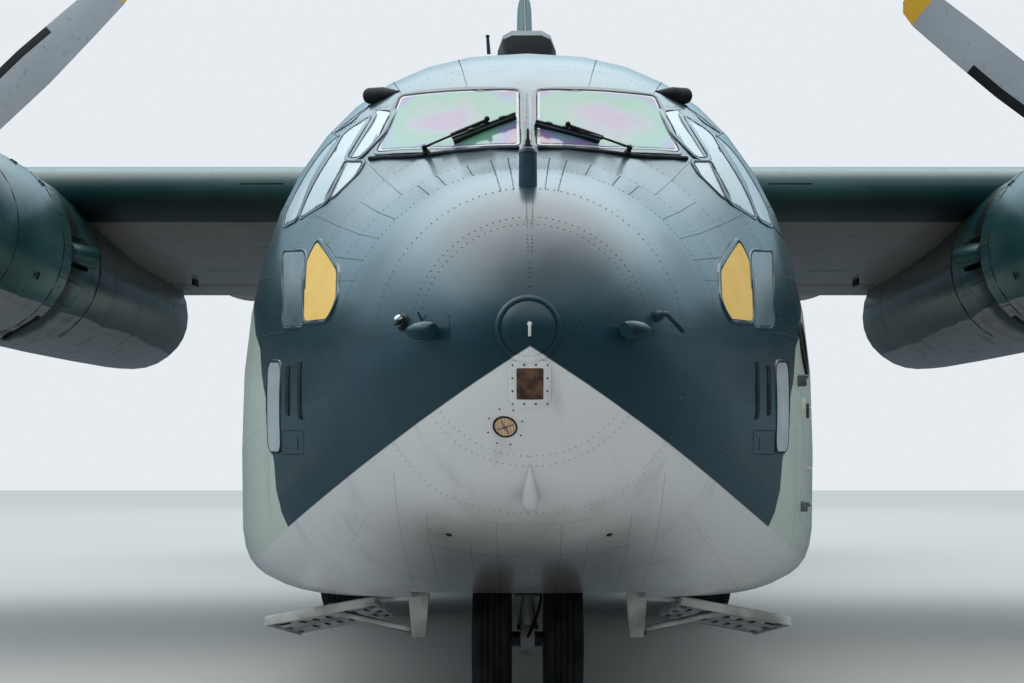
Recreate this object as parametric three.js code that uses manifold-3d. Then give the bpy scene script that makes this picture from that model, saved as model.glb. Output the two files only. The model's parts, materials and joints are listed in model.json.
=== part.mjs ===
// A twin-engine high-wing military transport aeroplane, parked on its wheels.
// Millimetres. Z is up from the ground, the nose points to -Y and the span runs along X.
import * as THREE from "three";
import Module from "manifold-3d";

const wasm = await Module();
wasm.setup();

// Driving sizes
const LENGTH = 23250;
const HALF_SPAN = 16765;
const HEIGHT = 10390;
const NOSE_Y = -LENGTH / 2;
const GAP = 0.5;
const HINGE_GAP = 12;

const WALL = 60;
const COCKPIT_WALL = 40;
const RING_POINTS = 44;
const INNER_POINTS = 24;
const CAP_END = 255;
const COCKPIT_END = 3850;
const RAMP_HINGE = 13300;
const FLOOR_Z = 1170;

const ENGINE_X = 4420;
const ENGINE_Z = 3220;
const PROP_STATION = 4360;
const PROP_RADIUS = 2310;

const JOIN_X = 4900;
const TIP_X = 16200;

const NOSE_WHEEL = { station: 2800, radius: 420, width: 220, x: 200 };
const MAIN_WHEEL = { radius: 560, width: 360, x: 1840, stations: [8680, 9990] };

// Small helpers for numbers and tables

// Station of a place on the aeroplane, counted from the nose tip, as a Y of the shared frame.
const yAt = (station) => NOSE_Y + station;
const rad = THREE.MathUtils.degToRad;

// A table of rows becomes a list of records with the named columns.
function table(columns, rows) {
  return rows.map((row) => Object.fromEntries(columns.map((name, i) => [name, row[i]])));
}

// Slopes for a curve through the table that never overshoots its rows.
function slopes(xs, ys) {
  const step = xs.slice(1).map((x, i) => (ys[i + 1] - ys[i]) / (x - xs[i]));
  return xs.map((x, i) => {
    const before = step[i - 1];
    const after = step[i];
    if (before === undefined) return after;
    if (after === undefined) return before;
    return before * after <= 0 ? 0 : (2 * before * after) / (before + after);
  });
}

function curveThrough(xs, ys) {
  const m = slopes(xs, ys);
  return (x) => {
    const at = Math.min(Math.max(x, xs[0]), xs[xs.length - 1]);
    let i = xs.findIndex((value, k) => k > 0 && at <= value) - 1;
    if (i < 0) i = 0;
    const h = xs[i + 1] - xs[i];
    const t = (at - xs[i]) / h;
    const [t2, t3] = [t * t, t * t * t];
    return (
      ys[i] * (2 * t3 - 3 * t2 + 1) +
      m[i] * h * (t3 - 2 * t2 + t) +
      ys[i + 1] * (3 * t2 - 2 * t3) +
      m[i + 1] * h * (t3 - t2)
    );
  };
}

// Solids

// A closed solid from rings of equally many points, capped at both ends.
// The quads for which "other" holds are split along their other diagonal.
function loft(rings, other = () => false) {
  const count = rings[0].length;
  const points = rings.flat();
  const faces = [];
  for (let r = 0; r + 1 < rings.length; r += 1) {
    for (let i = 0; i < count; i += 1) {
      const a = r * count + i;
      const b = r * count + ((i + 1) % count);
      if (other(i)) faces.push([a, b, a + count], [b, b + count, a + count]);
      else faces.push([a, b, b + count], [a, b + count, a + count]);
    }
  }
  const caps = [
    [rings[0], 0, true],
    [rings[rings.length - 1], (rings.length - 1) * count, false],
  ];
  for (const [ring, start, flip] of caps) {
    const middle = [0, 1, 2].map((k) => ring.reduce((sum, p) => sum + p[k], 0) / count);
    points.push(middle);
    for (let i = 0; i < count; i += 1) {
      const [a, b] = [start + i, start + ((i + 1) % count)];
      faces.push(flip ? [points.length - 1, b, a] : [points.length - 1, a, b]);
    }
  }
  return closed(points, faces);
}

// The solid of a list of points and triangles, turned right side out.
function closed(points, faces) {
  const build = (list) =>
    new wasm.Manifold(
      new wasm.Mesh({
        numProp: 3,
        vertProperties: new Float32Array(points.flat()),
        triVerts: new Uint32Array(list.flat()),
      }),
    );
  const made = build(faces);
  return made.volume() > 0 ? made : build(faces.map(([a, b, c]) => [a, c, b]));
}

// A three.js geometry as a solid, its equal corners merged.
function solidOf(geometry) {
  const flat = geometry.index ? geometry.toNonIndexed() : geometry;
  const position = flat.getAttribute("position");
  const known = new Map();
  const points = [];
  const corners = [];
  for (let i = 0; i < position.count; i += 1) {
    const p = [position.getX(i), position.getY(i), position.getZ(i)];
    const key = p.map((v) => Math.round(v * 100)).join();
    if (!known.has(key)) {
      known.set(key, points.length);
      points.push(p);
    }
    corners.push(known.get(key));
  }
  const faces = [];
  for (let i = 0; i < corners.length; i += 3) {
    const [a, b, c] = corners.slice(i, i + 3);
    if (a !== b && b !== c && c !== a) faces.push([a, b, c]);
  }
  return closed(points, faces);
}

// A box from its lowest to its highest corner.
function box([x0, y0, z0], [x1, y1, z1]) {
  const geometry = new THREE.BoxGeometry(x1 - x0, y1 - y0, z1 - z0);
  geometry.translate((x0 + x1) / 2, (y0 + y1) / 2, (z0 + z1) / 2);
  return solidOf(geometry);
}

const AXIS_TURN = {
  x: (g) => g.rotateZ(-Math.PI / 2),
  y: (g) => g,
  z: (g) => g.rotateX(Math.PI / 2),
};

// A cylinder along an axis, from its middle.
function cylinder(axis, [x, y, z], radius, length, sides = 24) {
  const geometry = new THREE.CylinderGeometry(radius, radius, length, sides);
  AXIS_TURN[axis](geometry);
  geometry.translate(x, y, z);
  return solidOf(geometry);
}

// A round bar between two points.
function bar(from, to, radius, sides = 10) {
  const [a, b] = [new THREE.Vector3(...from), new THREE.Vector3(...to)];
  const geometry = new THREE.CylinderGeometry(radius, radius, a.distanceTo(b), sides);
  const turn = new THREE.Quaternion().setFromUnitVectors(
    new THREE.Vector3(0, 1, 0),
    b.clone().sub(a).normalize(),
  );
  geometry.applyQuaternion(turn);
  geometry.translate((a.x + b.x) / 2, (a.y + b.y) / 2, (a.z + b.z) / 2);
  return solidOf(geometry);
}

// A turned body: [distance along the axis, radius] rows, the axis on Y.
function turned([x, y, z], rows, sides = 32) {
  const profile = rows.map(([along, radius]) => new THREE.Vector2(radius, along));
  const geometry = new THREE.LatheGeometry(profile, sides);
  geometry.translate(x, y, z);
  return solidOf(geometry);
}

// A flat outline given as [along Y, Z] pairs, swept along X.
function prismX(outline, x0, x1) {
  return loft([x0, x1].map((x) => outline.map(([y, z]) => [x, y, z])));
}

// A flat outline given as [X, Z] pairs, swept along Y.
function prismY(outline, y0, y1) {
  return loft([y0, y1].map((y) => outline.map(([x, z]) => [x, y, z])));
}

// A flat outline given as [X, Y] pairs, swept along Z.
function prismZ(outline, z0, z1) {
  return loft([z0, z1].map((z) => outline.map(([x, y]) => [x, y, z])));
}

const mirrored = (solid) => solid.mirror([1, 0, 0]);
const joined = (...solids) => solids.flat().reduce((sum, solid) => sum.add(solid));
const without = (solid, ...cuts) => cuts.flat().reduce((rest, cut) => rest.subtract(cut), solid);
// The largest of a solid's separate pieces, once slivers have been cut free of it.
const largest = (solid) => solid.decompose().sort((a, b) => b.volume() - a.volume())[0];

// Fuselage sections, front to back
const HULL = table(
  ["station", "half", "top", "bottom", "waist", "upper", "lower"],
  [
    [0, 100, 1980, 1780, 1880, 2, 2],
    [80, 260, 2130, 1620, 1880, 2, 2],
    [200, 400, 2280, 1450, 1870, 2, 2.05],
    [400, 565, 2440, 1270, 1840, 2.03, 2.15],
    [700, 745, 2600, 1085, 1780, 2.08, 2.35],
    [1100, 950, 2750, 940, 1700, 2.12, 2.7],
    [1550, 1150, 2930, 835, 1620, 2.15, 3.2],
    [2050, 1370, 3330, 720, 1560, 2.25, 4.8],
    [2500, 1540, 3620, 685, 1520, 2.35, 6],
    [3000, 1680, 3845, 680, 1500, 2.4, 6.5],
    [3500, 1745, 3985, 680, 1500, 2.45, 6.5],
    [4400, 1750, 4120, 680, 1500, 2.5, 6.5],
    [6000, 1750, 4150, 680, 1500, 2.7, 6.5],
    [12000, 1750, 4150, 680, 1500, 2.7, 6.5],
    [RAMP_HINGE, 1750, 4150, 680, 1500, 2.7, 6.5],
  ],
);
const TAIL = table(
  ["station", "half", "top", "bottom", "waist", "upper", "lower"],
  [
    [RAMP_HINGE, 1750, 4150, 680, 1500, 2.7, 6.5],
    [14500, 1735, 4175, 1210, 1900, 2.7, 6.5],
    [16400, 1560, 4290, 2050, 2600, 2.6, 6],
    [18000, 1290, 4460, 2760, 3250, 2.5, 5],
    [19200, 1060, 4620, 3250, 3650, 2.4, 4.5],
    [20800, 720, 4740, 3790, 4120, 2.3, 3.5],
    [22300, 380, 4740, 4180, 4400, 2.2, 2.8],
    [23000, 170, 4660, 4380, 4500, 2, 2.2],
    [LENGTH, 60, 4560, 4460, 4510, 2, 2],
  ],
);
const COLUMNS = ["half", "top", "bottom", "waist", "upper", "lower"];

function sectionCurves(rows) {
  const xs = rows.map((row) => row.station);
  return Object.fromEntries(
    COLUMNS.map((name) => [name, curveThrough(xs, rows.map((row) => row[name]))]),
  );
}

const hullCurves = sectionCurves(HULL);
const tailCurves = sectionCurves(TAIL);

// One ring of the hull; a positive inset moves it inwards.
function hullRing(curves, station, inset = 0, count = RING_POINTS) {
  const s = Object.fromEntries(COLUMNS.map((name) => [name, curves[name](station)]));
  const half = Math.max(s.half - inset, 12);
  const up = Math.max(s.top - inset - s.waist, 12);
  const down = Math.max(s.waist - s.bottom - inset, 12);
  return Array.from({ length: count }, (_, i) => {
    const angle = (2 * Math.PI * i) / count;
    const [c, n] = [Math.cos(angle), Math.sin(angle)];
    const power = 2 / (n >= 0 ? s.upper : s.lower);
    const across = Math.abs(c) < 1e-9 ? 0 : Math.sign(c) * Math.abs(c) ** power;
    const rise = Math.abs(n) < 1e-9 ? 0 : Math.sign(n) * Math.abs(n) ** power;
    return [half * across, yAt(station), s.waist + (n >= 0 ? up : down) * rise];
  });
}

// A loft of hull rings whose two sides mirror each other, diagonals too.
function hullLoft(curves, stations, inset, count = RING_POINTS) {
  const otherSide = (i) => i >= count / 4 && i < (3 * count) / 4;
  return loft(stations.map((s) => hullRing(curves, s, inset, count)), otherSide);
}

const NOSE_STATIONS = [0, 40, 100, 200, 350, 520, 740, 1000, 1350, 1700, 2100, 2500];
const BODY_STATIONS = [3000, 3600, 4400, 6000, RAMP_HINGE];
const TAIL_STATIONS = [RAMP_HINGE, 14500, 16400, 17700, 19200, 20800, 22300, 23000, LENGTH];

// The hull from the nose to the ramp hinge, moved inwards a little for a gap or a pane.
function hull(inset = 0) {
  return hullLoft(hullCurves, [...NOSE_STATIONS, ...BODY_STATIONS], inset);
}

// The hollow inside the hull's wall; it has fewer corners and starts behind the nose.
function hullInside(wall) {
  const stations = [...NOSE_STATIONS, ...BODY_STATIONS].filter((s) => s >= wall + 20);
  return hullLoft(hullCurves, stations, wall, INNER_POINTS);
}

// The hull behind the ramp hinge.
function tailHull(inset = 0) {
  return hullLoft(tailCurves, TAIL_STATIONS, inset);
}

function tailInside(wall) {
  const stations = TAIL_STATIONS.filter((s) => s <= 22300);
  return hullLoft(tailCurves, stations, wall, INNER_POINTS);
}

// A slab of space between two stations, larger than the aeroplane.
function between(from, to) {
  return box([-2600, yAt(from), -100], [2600, yAt(to), 5000]);
}

// Wings and tail surfaces

const TRAILING_EDGE = 0.004;
const FOIL_STEPS = [0, 0.012, 0.05, 0.12, 0.22, 0.34, 0.48, 0.62, 0.76, 0.89, 1];

// Half thickness of a foil at a share of its chord, for a foil one chord thick.
function halfThickness(t) {
  return 5 * (0.2969 * Math.sqrt(t) - 0.126 * t - 0.3516 * t * t + 0.2843 * t ** 3 - 0.1036 * t ** 4);
}

const camberAt = (t, camber) => camber * (1 - (2 * t - 0.8) ** 2 / (t < 0.4 ? 0.64 : 1.44));

// The foil's points in its own plane: share of chord back, share of chord up.
function foilOutline(thickness, camber, from = 0) {
  const rows = FOIL_STEPS.filter((t) => t > from + 0.02 || from === 0);
  const at = (t, side) => [t, camberAt(t, camber) + side * thickness * halfThickness(t), side];
  const lastLow = [1, camberAt(1, camber) - TRAILING_EDGE, -1];
  if (from === 0) {
    const upper = rows.map((t) => at(t, 1));
    const lower = rows.slice(1, -1).reverse().map((t) => at(t, -1));
    return [...upper, lastLow, ...lower];
  }
  const radius = thickness * halfThickness(from);
  const middle = camberAt(from, camber);
  const round = [-90, -126, -162, 162, 126, 90].map((degrees) => [
    from + radius * Math.cos(rad(degrees)),
    middle + radius * Math.sin(rad(degrees)),
    0,
  ]);
  const upper = rows.map((t) => at(t, 1));
  const lower = rows.slice(0, -1).reverse().map((t) => at(t, -1));
  return [...round, ...upper, lastLow, ...lower];
}

// A ring drawn in towards its own middle, for a rounded tip.
function shrunkRing(ring, size) {
  const middle = [0, 1, 2].map((k) => ring.reduce((sum, p) => sum + p[k], 0) / ring.length);
  return ring.map((p) => p.map((v, k) => middle[k] + (v - middle[k]) * size));
}

// A surface's straight line of sections between two named ends.
function sectionAt(panel, span) {
  const t = (span - panel.from.span) / (panel.to.span - panel.from.span);
  const mix = (name) => panel.from[name] + t * (panel.to[name] - panel.from[name]);
  return { span, lead: mix("lead"), chord: mix("chord"), height: mix("height"), thickness: mix("thickness") };
}

// One foil point on the aeroplane: a wing spans along X, a fin along Z.
function foilPoint(panel, span, [t, h, side], grow = 0) {
  const s = sectionAt(panel, span);
  const incidence = rad(panel.incidence ?? 0);
  const along = { 0: -2, 1: 2 }[t] ?? 0;
  const back = t * s.chord + grow * along;
  const up = h * s.chord + grow * side;
  const y = yAt(s.lead) + back * Math.cos(incidence) + up * Math.sin(incidence);
  const z = up * Math.cos(incidence) - back * Math.sin(incidence);
  return panel.upright ? [up, yAt(s.lead) + back, span] : [span, y, s.height + z];
}

function foilRing(panel, span, from = 0, grow = 0) {
  const { thickness } = sectionAt(panel, span);
  const outline = foilOutline(thickness, panel.camber ?? 0, from);
  return outline.map((point) => foilPoint(panel, span, point, grow));
}

// The place of a control's hinge line at a span.
function hingeAt(panel, span, share) {
  return foilPoint(panel, span, [share, camberAt(share, panel.camber ?? 0), 0]);
}

function hingeDirection(panel, from, to, share) {
  const [a, b] = [from, to].map((span) => new THREE.Vector3(...hingeAt(panel, span, share)));
  return b.sub(a).normalize();
}

// How far along the span a point lies ahead of the plane that is square to the hinge at a span.
function squareShift(panel, span, share, direction, point) {
  const hinge = new THREE.Vector3(...hingeAt(panel, span, share));
  const offset = new THREE.Vector3(...point).sub(hinge);
  return -offset.dot(direction) / (panel.upright ? direction.z : direction.x);
}

// A control surface with a round nose on its hinge line and ends square to it.
function control(panel, from, to, share) {
  const direction = hingeDirection(panel, from, to, share);
  const rings = [from, to].map((span) => {
    const outline = foilOutline(sectionAt(panel, span).thickness, panel.camber ?? 0, share);
    return outline.map((point) => {
      const flat = foilPoint(panel, span, point);
      return foilPoint(panel, span + squareShift(panel, span, share, direction, flat), point);
    });
  });
  return loft(rings);
}

// The space a control needs: all behind its nose, a little wider than it, with square ends.
function controlSpace(panel, from, to, share) {
  const direction = hingeDirection(panel, from, to, share);
  const outline = (span) => {
    const s = sectionAt(panel, span);
    const [a, b, c] = hingeAt(panel, span, share);
    const nose = s.thickness * halfThickness(share) * s.chord + HINGE_GAP;
    const reach = (1 - share) * s.chord + 200;
    const depth = 0.25 * s.chord;
    const corners = panel.upright
      ? [[-depth, b - nose, c], [depth, b - nose, c], [depth, b + reach, c], [-depth, b + reach, c]]
      : [
          [a, b - nose, c - depth],
          [a, b - nose, c + depth],
          [a, b + reach, c + depth],
          [a, b + reach, c - depth],
        ];
    return corners.map(([x, y, z]) => {
      const shift = squareShift(panel, span, share, direction, [x, y, z]);
      return panel.upright ? [x, y, z + shift] : [x + shift, y, z];
    });
  };
  return loft([from - HINGE_GAP, to + HINGE_GAP].map(outline));
}

const WING_CENTRE = {
  from: { span: 0, lead: 6500, chord: 4150, height: 3830, thickness: 0.17 },
  to: { span: JOIN_X, lead: 6500, chord: 4150, height: 3830, thickness: 0.17 },
  incidence: 4.5,
  camber: 0.018,
};
const WING_OUTER = {
  from: { span: JOIN_X, lead: 6500, chord: 4150, height: 3830, thickness: 0.17 },
  to: { span: TIP_X, lead: 7150, chord: 2050, height: 4720, thickness: 0.12 },
  incidence: 4.5,
  camber: 0.018,
};
const TAILPLANE = {
  from: { span: 0, lead: 19300, chord: 3050, height: 4950, thickness: 0.12 },
  to: { span: 5610, lead: 20150, chord: 1700, height: 4950, thickness: 0.1 },
};
const FIN = {
  upright: true,
  from: { span: 4200, lead: 18100, chord: 4850, height: 0, thickness: 0.12 },
  to: { span: HEIGHT, lead: 19950, chord: 2650, height: 0, thickness: 0.1 },
};
// The low fillet ahead of the fin: station, height of its top, width at its foot
const DORSAL = [
  [14200, 4120, 60],
  [16500, 4920, 180],
  [18900, 5850, 300],
  [19900, 5850, 300],
];

const CONTROLS = table(
  ["name", "panel", "from", "to", "share"],
  [
    ["flap_inner", WING_CENTRE, 1860, 3740, 0.76],
    ["flap_outer", WING_OUTER, 5110, 9850, 0.76],
    ["aileron", WING_OUTER, 9950, 15900, 0.76],
    ["elevator", TAILPLANE, 760, 5400, 0.64],
  ],
);
const RUDDER = { from: 5130, to: 9950, share: 0.66 };

// Windows of the nose: outlines on the starboard side as seen from ahead, or from the side
const FRONT_PANES = {
  windscreen: [[-768, 3014], [-684, 3409], [-52, 3362], [-45, 2938], [-383, 2945]],
};
const SIDE_PANES = {
  quarter: [[2460, 3363], [2300, 3292], [2090, 3099], [2070, 3021], [2160, 3040], [2240, 3147]],
  side_front: [
    [2430, 3305], [2500, 3247], [2400, 3123], [2250, 2745], [2030, 2773], [2180, 3026], [2330, 3214],
  ],
  side_rear: [[2600, 3245], [2710, 3199], [2720, 3083], [2690, 2872], [2530, 2756], [2340, 2752]],
  cheek: [[1990, 2955], [2120, 2986], [2090, 2937], [2040, 2796], [1970, 2786], [1940, 2872]],
  brow: [[2720, 3452], [2660, 3356], [2830, 3350]],
  nose_upper: [[2290, 2554], [1910, 2489], [1480, 2063], [1860, 2107]],
  nose_lower: [[2040, 1942], [1780, 1918], [1710, 1468], [1960, 1474]],
};
const PORTHOLE = { radius: 150, z: 2350, stations: [4750, 5700, 7500, 9300, 11000] };
const PANE_FRONT = [1300, 2900];
const PANE_SIDE = [620, 1800];

// Shrink an outline towards its own middle by a distance.
function shrunk(outline, distance) {
  const middle = [0, 1].map((k) => outline.reduce((sum, p) => sum + p[k], 0) / outline.length);
  return outline.map(([a, b]) => {
    const [da, db] = [a - middle[0], b - middle[1]];
    const size = Math.hypot(da, db);
    return [a - (da / size) * distance, b - (db / size) * distance];
  });
}

function paneCuts(distance) {
  const front = Object.values(FRONT_PANES).map((outline) =>
    prismY(shrunk(outline, distance), yAt(PANE_FRONT[0]), yAt(PANE_FRONT[1])),
  );
  const side = Object.values(SIDE_PANES).map((outline) =>
    prismX(shrunk(outline.map(([s, z]) => [yAt(s), z]), distance), -PANE_SIDE[1], -PANE_SIDE[0]),
  );
  const starboard = [...front, ...side];
  return [...starboard, ...starboard.map(mirrored)];
}

// Doors in the hull, as [station, Z] outlines
const CREW_DOOR = [[2320, 1180], [3020, 1180], [3020, 2760], [2320, 2760]];
// The hull widens past the crew door, so the door's edges lean forward to stay square to its hinge.
const CREW_DOOR_LEAN = { slope: 0.302, at: 1570 };
const TROOP_DOOR = [[11900, 1255], [12800, 1255], [12800, 2960], [11900, 2960]];
const RAMP = { end: 16380, half: 1390 };
const UPPER_DOOR = { start: 16402, end: 18900, wide: 1200, half: 860, spaceTop: 3700 };
const RAMP_LEAN = 0.44;
const NOSE_BAY = { from: 1900, to: 3450, half: 600, roof: 1100 };

const hullOuter = hull();
const tailOuter = tailHull();
const wallOf = (from, to, wall) => without(hullOuter.intersect(between(from, to)), hullInside(wall));

const DOOR_REACH = [1000, 2000];
const noLean = { slope: 0, at: 0 };

// The space a hull door takes, cut straight through the wall with an optional forward lean.
function doorCut(outline, lean = noLean) {
  return loft(
    DOOR_REACH.map((x) => outline.map(([s, z]) => [x, yAt(s) - (x - lean.at) * lean.slope, z])),
  );
}
const doorPlug = (outline, lean) => doorCut(shrunk(outline, HINGE_GAP), lean);

const nodes = {};

// Nose and cockpit
nodes.nose_cap = wallOf(0, CAP_END - GAP, COCKPIT_WALL);

const bayCut = box(
  [-NOSE_BAY.half, yAt(NOSE_BAY.from), 400],
  [NOSE_BAY.half, yAt(NOSE_BAY.to), NOSE_BAY.roof],
);
const cockpitWall = wallOf(CAP_END, COCKPIT_END - GAP, COCKPIT_WALL);
nodes.cockpit_shell = without(
  cockpitWall,
  paneCuts(0),
  doorCut(CREW_DOOR, CREW_DOOR_LEAN),
  bayCut,
);

// The panes stand on a thin liner that ties them together behind the wall.
const LINER_DEPTH = 12;
const LINER_ROOMS = table(
  ["from", "to", "low", "high"],
  [
    [1420, 2900, 2680, 3560],
    [1420, 2340, 2000, 2700],
    [1640, 2100, 1420, 2010],
  ],
);
const liner = without(
  hullInside(COCKPIT_WALL + GAP),
  hullInside(COCKPIT_WALL + LINER_DEPTH),
).intersect(
  joined(
    LINER_ROOMS.map(({ from, to, low, high }) => box([-1700, yAt(from), low], [1700, yAt(to), high])),
  ),
);
const paneBody = without(hull(3), hullInside(COCKPIT_WALL + LINER_DEPTH / 2)).intersect(
  box([-1800, yAt(1300), 1300], [1800, yAt(2950), 3700]),
);
nodes.flight_deck_glazing = joined(liner, ...paneCuts(1).map((cut) => paneBody.intersect(cut)));

// The flight deck: its floor leaves a well inside the crew door, and its fittings stand on it.
const DECK = { floor: 2080, thick: 50, from: 1500, to: 3300, half: 1700, well: { x: 700, from: 2200 } };
const PILOT_X = 480;
const DECK_FITTINGS = table(
  ["middle", "half", "from", "to", "low", "high"],
  [
    [-PILOT_X, 250, 2480, 2900, -10, 420],
    [PILOT_X, 250, 2480, 2900, -10, 420],
    [-PILOT_X, 240, 2820, 2960, 400, 1120],
    [PILOT_X, 240, 2820, 2960, 400, 1120],
    [0, 900, 1720, 1860, -10, 640],
    [0, 150, 1850, 2450, -10, 480],
  ],
);
const YOKE = { foot: 2050, head: 2180, rise: 640, radius: 35 };
const deckWell = box(
  [DECK.well.x, yAt(DECK.well.from), DECK.floor - 100],
  [DECK.half + 10, yAt(DECK.to) + 10, DECK.floor + 100],
);
const deckFloor = box(
  [-DECK.half, yAt(DECK.from), DECK.floor - DECK.thick],
  [DECK.half, yAt(DECK.to), DECK.floor],
).subtract(deckWell);
const deckFittings = DECK_FITTINGS.map(({ middle, half, from, to, low, high }) =>
  box([middle - half, yAt(from), DECK.floor + low], [middle + half, yAt(to), DECK.floor + high]),
);
const yokes = [-PILOT_X, PILOT_X].map((x) =>
  bar([x, yAt(YOKE.foot), DECK.floor - 10], [x, yAt(YOKE.head), DECK.floor + YOKE.rise], YOKE.radius, 8),
);
nodes.flight_deck = joined(deckFloor, deckFittings, yokes).intersect(
  hullInside(COCKPIT_WALL + LINER_DEPTH + 1),
);

// Cargo hold: one floor from the flight deck to the ramp, open over the nose-wheel bay
const BAY_MARGIN = 60;
const bayRoom = box(
  [-NOSE_BAY.half - BAY_MARGIN, yAt(NOSE_BAY.from) - BAY_MARGIN, 400],
  [NOSE_BAY.half + BAY_MARGIN, yAt(NOSE_BAY.to) + BAY_MARGIN, NOSE_BAY.roof],
);
const CARGO_FLOOR = { from: 2200, thick: 60, half: 1750 };
nodes.cargo_floor = box(
  [-CARGO_FLOOR.half, yAt(CARGO_FLOOR.from), FLOOR_Z - CARGO_FLOOR.thick],
  [CARGO_FLOOR.half, yAt(RAMP_HINGE) - 10, FLOOR_Z],
)
  .intersect(hullInside(WALL + GAP))
  .subtract(bayRoom);

const centreWing = (grow) =>
  loft([-JOIN_X + GAP, JOIN_X - GAP].map((x) => foilRing(WING_CENTRE, x, 0, grow)));

const ARCH_MARGIN = 60;
const wheelArches = MAIN_WHEEL.stations.map((station) =>
  cylinder(
    "x",
    [MAIN_WHEEL.x, yAt(station), MAIN_WHEEL.radius],
    MAIN_WHEEL.radius + ARCH_MARGIN,
    MAIN_WHEEL.width + 2 * ARCH_MARGIN,
    32,
  ),
);
const archesBoth = [...wheelArches, ...wheelArches.map(mirrored)];

const portholes = (grow) =>
  PORTHOLE.stations.map((station) =>
    cylinder("x", [1600, yAt(station), PORTHOLE.z], PORTHOLE.radius + grow, 600, 14),
  );
nodes.fuselage_shell = without(
  wallOf(COCKPIT_END, RAMP_HINGE - GAP, WALL),
  centreWing(1),
  archesBoth,
  portholes(0),
  portholes(0).map(mirrored),
  doorCut(TROOP_DOOR),
  mirrored(doorCut(TROOP_DOOR)),
);

// Cabin windows: round panes on one strip behind the wall
const cabinStrip = without(hullInside(WALL + GAP), hullInside(WALL + 10)).intersect(
  box([1000, yAt(4450), PORTHOLE.z - 190], [2000, yAt(11300), PORTHOLE.z + 190]),
);
const cabinPanes = without(hull(3), hullInside(WALL + 6)).intersect(joined(portholes(-1)));
nodes.cabin_windows_left = joined(cabinStrip, cabinPanes);
nodes.cabin_windows_right = mirrored(nodes.cabin_windows_left);

// Black air scoop on the roof behind the flight deck
const SCOOP = table(
  ["station", "half", "rise"],
  [
    [4150, 150, 90],
    [4220, 200, 270],
    [4400, 205, 350],
    [4850, 195, 320],
    [5300, 90, 60],
  ],
);
// The scoop's section as shares of its half width and of its rise
const SCOOP_RING = [
  [-1.12, -0.5], [1.12, -0.5], [0.98, 0.6], [0.8, 0.9],
  [0.5, 1], [-0.5, 1], [-0.8, 0.9], [-0.98, 0.6],
];
const SCOOP_SINK = 20;
nodes.roof_scoop = loft(
  SCOOP.map(({ station, half, rise }) => {
    const foot = hullCurves.top(station) - SCOOP_SINK;
    return SCOOP_RING.map(([u, v]) => [u * half, yAt(station), foot + v * rise]);
  }),
).subtract(hull(-GAP));

// Doors
const doorSkin = (wall) => without(hull(0.2), hullInside(wall));
nodes.crew_door = doorSkin(COCKPIT_WALL).intersect(doorPlug(CREW_DOOR, CREW_DOOR_LEAN));
nodes.troop_door_left = doorSkin(WALL).intersect(doorPlug(TROOP_DOOR));
nodes.troop_door_right = mirrored(nodes.troop_door_left);

// Rear fuselage with the ramp opening
const rampLine = (station) => tailCurves.bottom(station);
// The ramp and the door above it meet on a face that is square to the sloping belly.
const leanAt = (station, rise) => station - rise * RAMP_LEAN;
const rampOutline = [
  [RAMP_HINGE + 8, 500],
  [RAMP_HINGE + 8, FLOOR_Z],
  [leanAt(RAMP.end, 160), rampLine(RAMP.end) + 160],
  [leanAt(RAMP.end, -300), rampLine(RAMP.end) - 300],
];
const upperOutline = [
  [leanAt(UPPER_DOOR.start, -300), rampLine(UPPER_DOOR.start) - 300],
  [leanAt(UPPER_DOOR.start, 120), rampLine(UPPER_DOOR.start) + 120],
  [UPPER_DOOR.end, rampLine(UPPER_DOOR.end) + 110],
  [UPPER_DOOR.end, 1200],
];
const toY = (outline) => outline.map(([s, z]) => [yAt(s), z]);
const upperSpace = (grow) =>
  prismZ(
    [
      [-UPPER_DOOR.wide - grow, yAt(UPPER_DOOR.start) - 180],
      [UPPER_DOOR.wide + grow, yAt(UPPER_DOOR.start) - 180],
      [UPPER_DOOR.half + grow, yAt(UPPER_DOOR.end) + grow],
      [-UPPER_DOOR.half - grow, yAt(UPPER_DOOR.end) + grow],
    ],
    1200,
    UPPER_DOOR.spaceTop,
  );

nodes.cargo_ramp = prismX(toY(rampOutline), -RAMP.half + 15, RAMP.half - 15).intersect(tailOuter);
nodes.upper_cargo_door = prismX(toY(upperOutline), -2000, 2000)
  .intersect(upperSpace(-15))
  .intersect(tailOuter);

const rampOpening = box([-RAMP.half, yAt(RAMP_HINGE) - 10, 500], [RAMP.half, yAt(RAMP.end) + 10, 2600]);

function tailplaneSolid(grow) {
  const half = [
    [0, 1],
    [5420, 1],
    [5540, 0.88],
    [5610, 0.6],
  ];
  const ends = [...half.slice(1).reverse().map(([x, size]) => [-x, size]), ...half];
  const rings = ends.map(([x, size]) => {
    const ring = foilRing(TAILPLANE, Math.abs(x), 0, grow);
    return shrunkRing(ring, size).map(([, y, z]) => [x, y, z]);
  });
  return loft(rings);
}

const finBody = loft(
  [
    [FIN.from.span, 1],
    [10240, 1],
    [10340, 0.93],
    [FIN.to.span, 0.8],
  ].map(([z, size]) => shrunkRing(foilRing(FIN, z), size)),
);
const dorsal = loft(
  DORSAL.map(([s, top, width]) => [
    [-width / 2, yAt(s), 4000],
    [width / 2, yAt(s), 4000],
    [18, yAt(s), top],
    [-18, yAt(s), top],
  ]),
);
const rudderSpace = controlSpace(FIN, RUDDER.from, RUDDER.to, RUDDER.share);
const tailplane = tailplaneSolid(0);
const elevator = CONTROLS.find((row) => row.name === "elevator");
const elevatorSpace = controlSpace(TAILPLANE, elevator.from, elevator.to, elevator.share);
nodes.tailplane = without(tailplane, elevatorSpace, mirrored(elevatorSpace));
const tailGap = tailplaneSolid(GAP);
const finPieces = without(finBody.add(dorsal), rudderSpace, tailGap, tailHull(-GAP));
nodes.fin = largest(finPieces);
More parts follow.
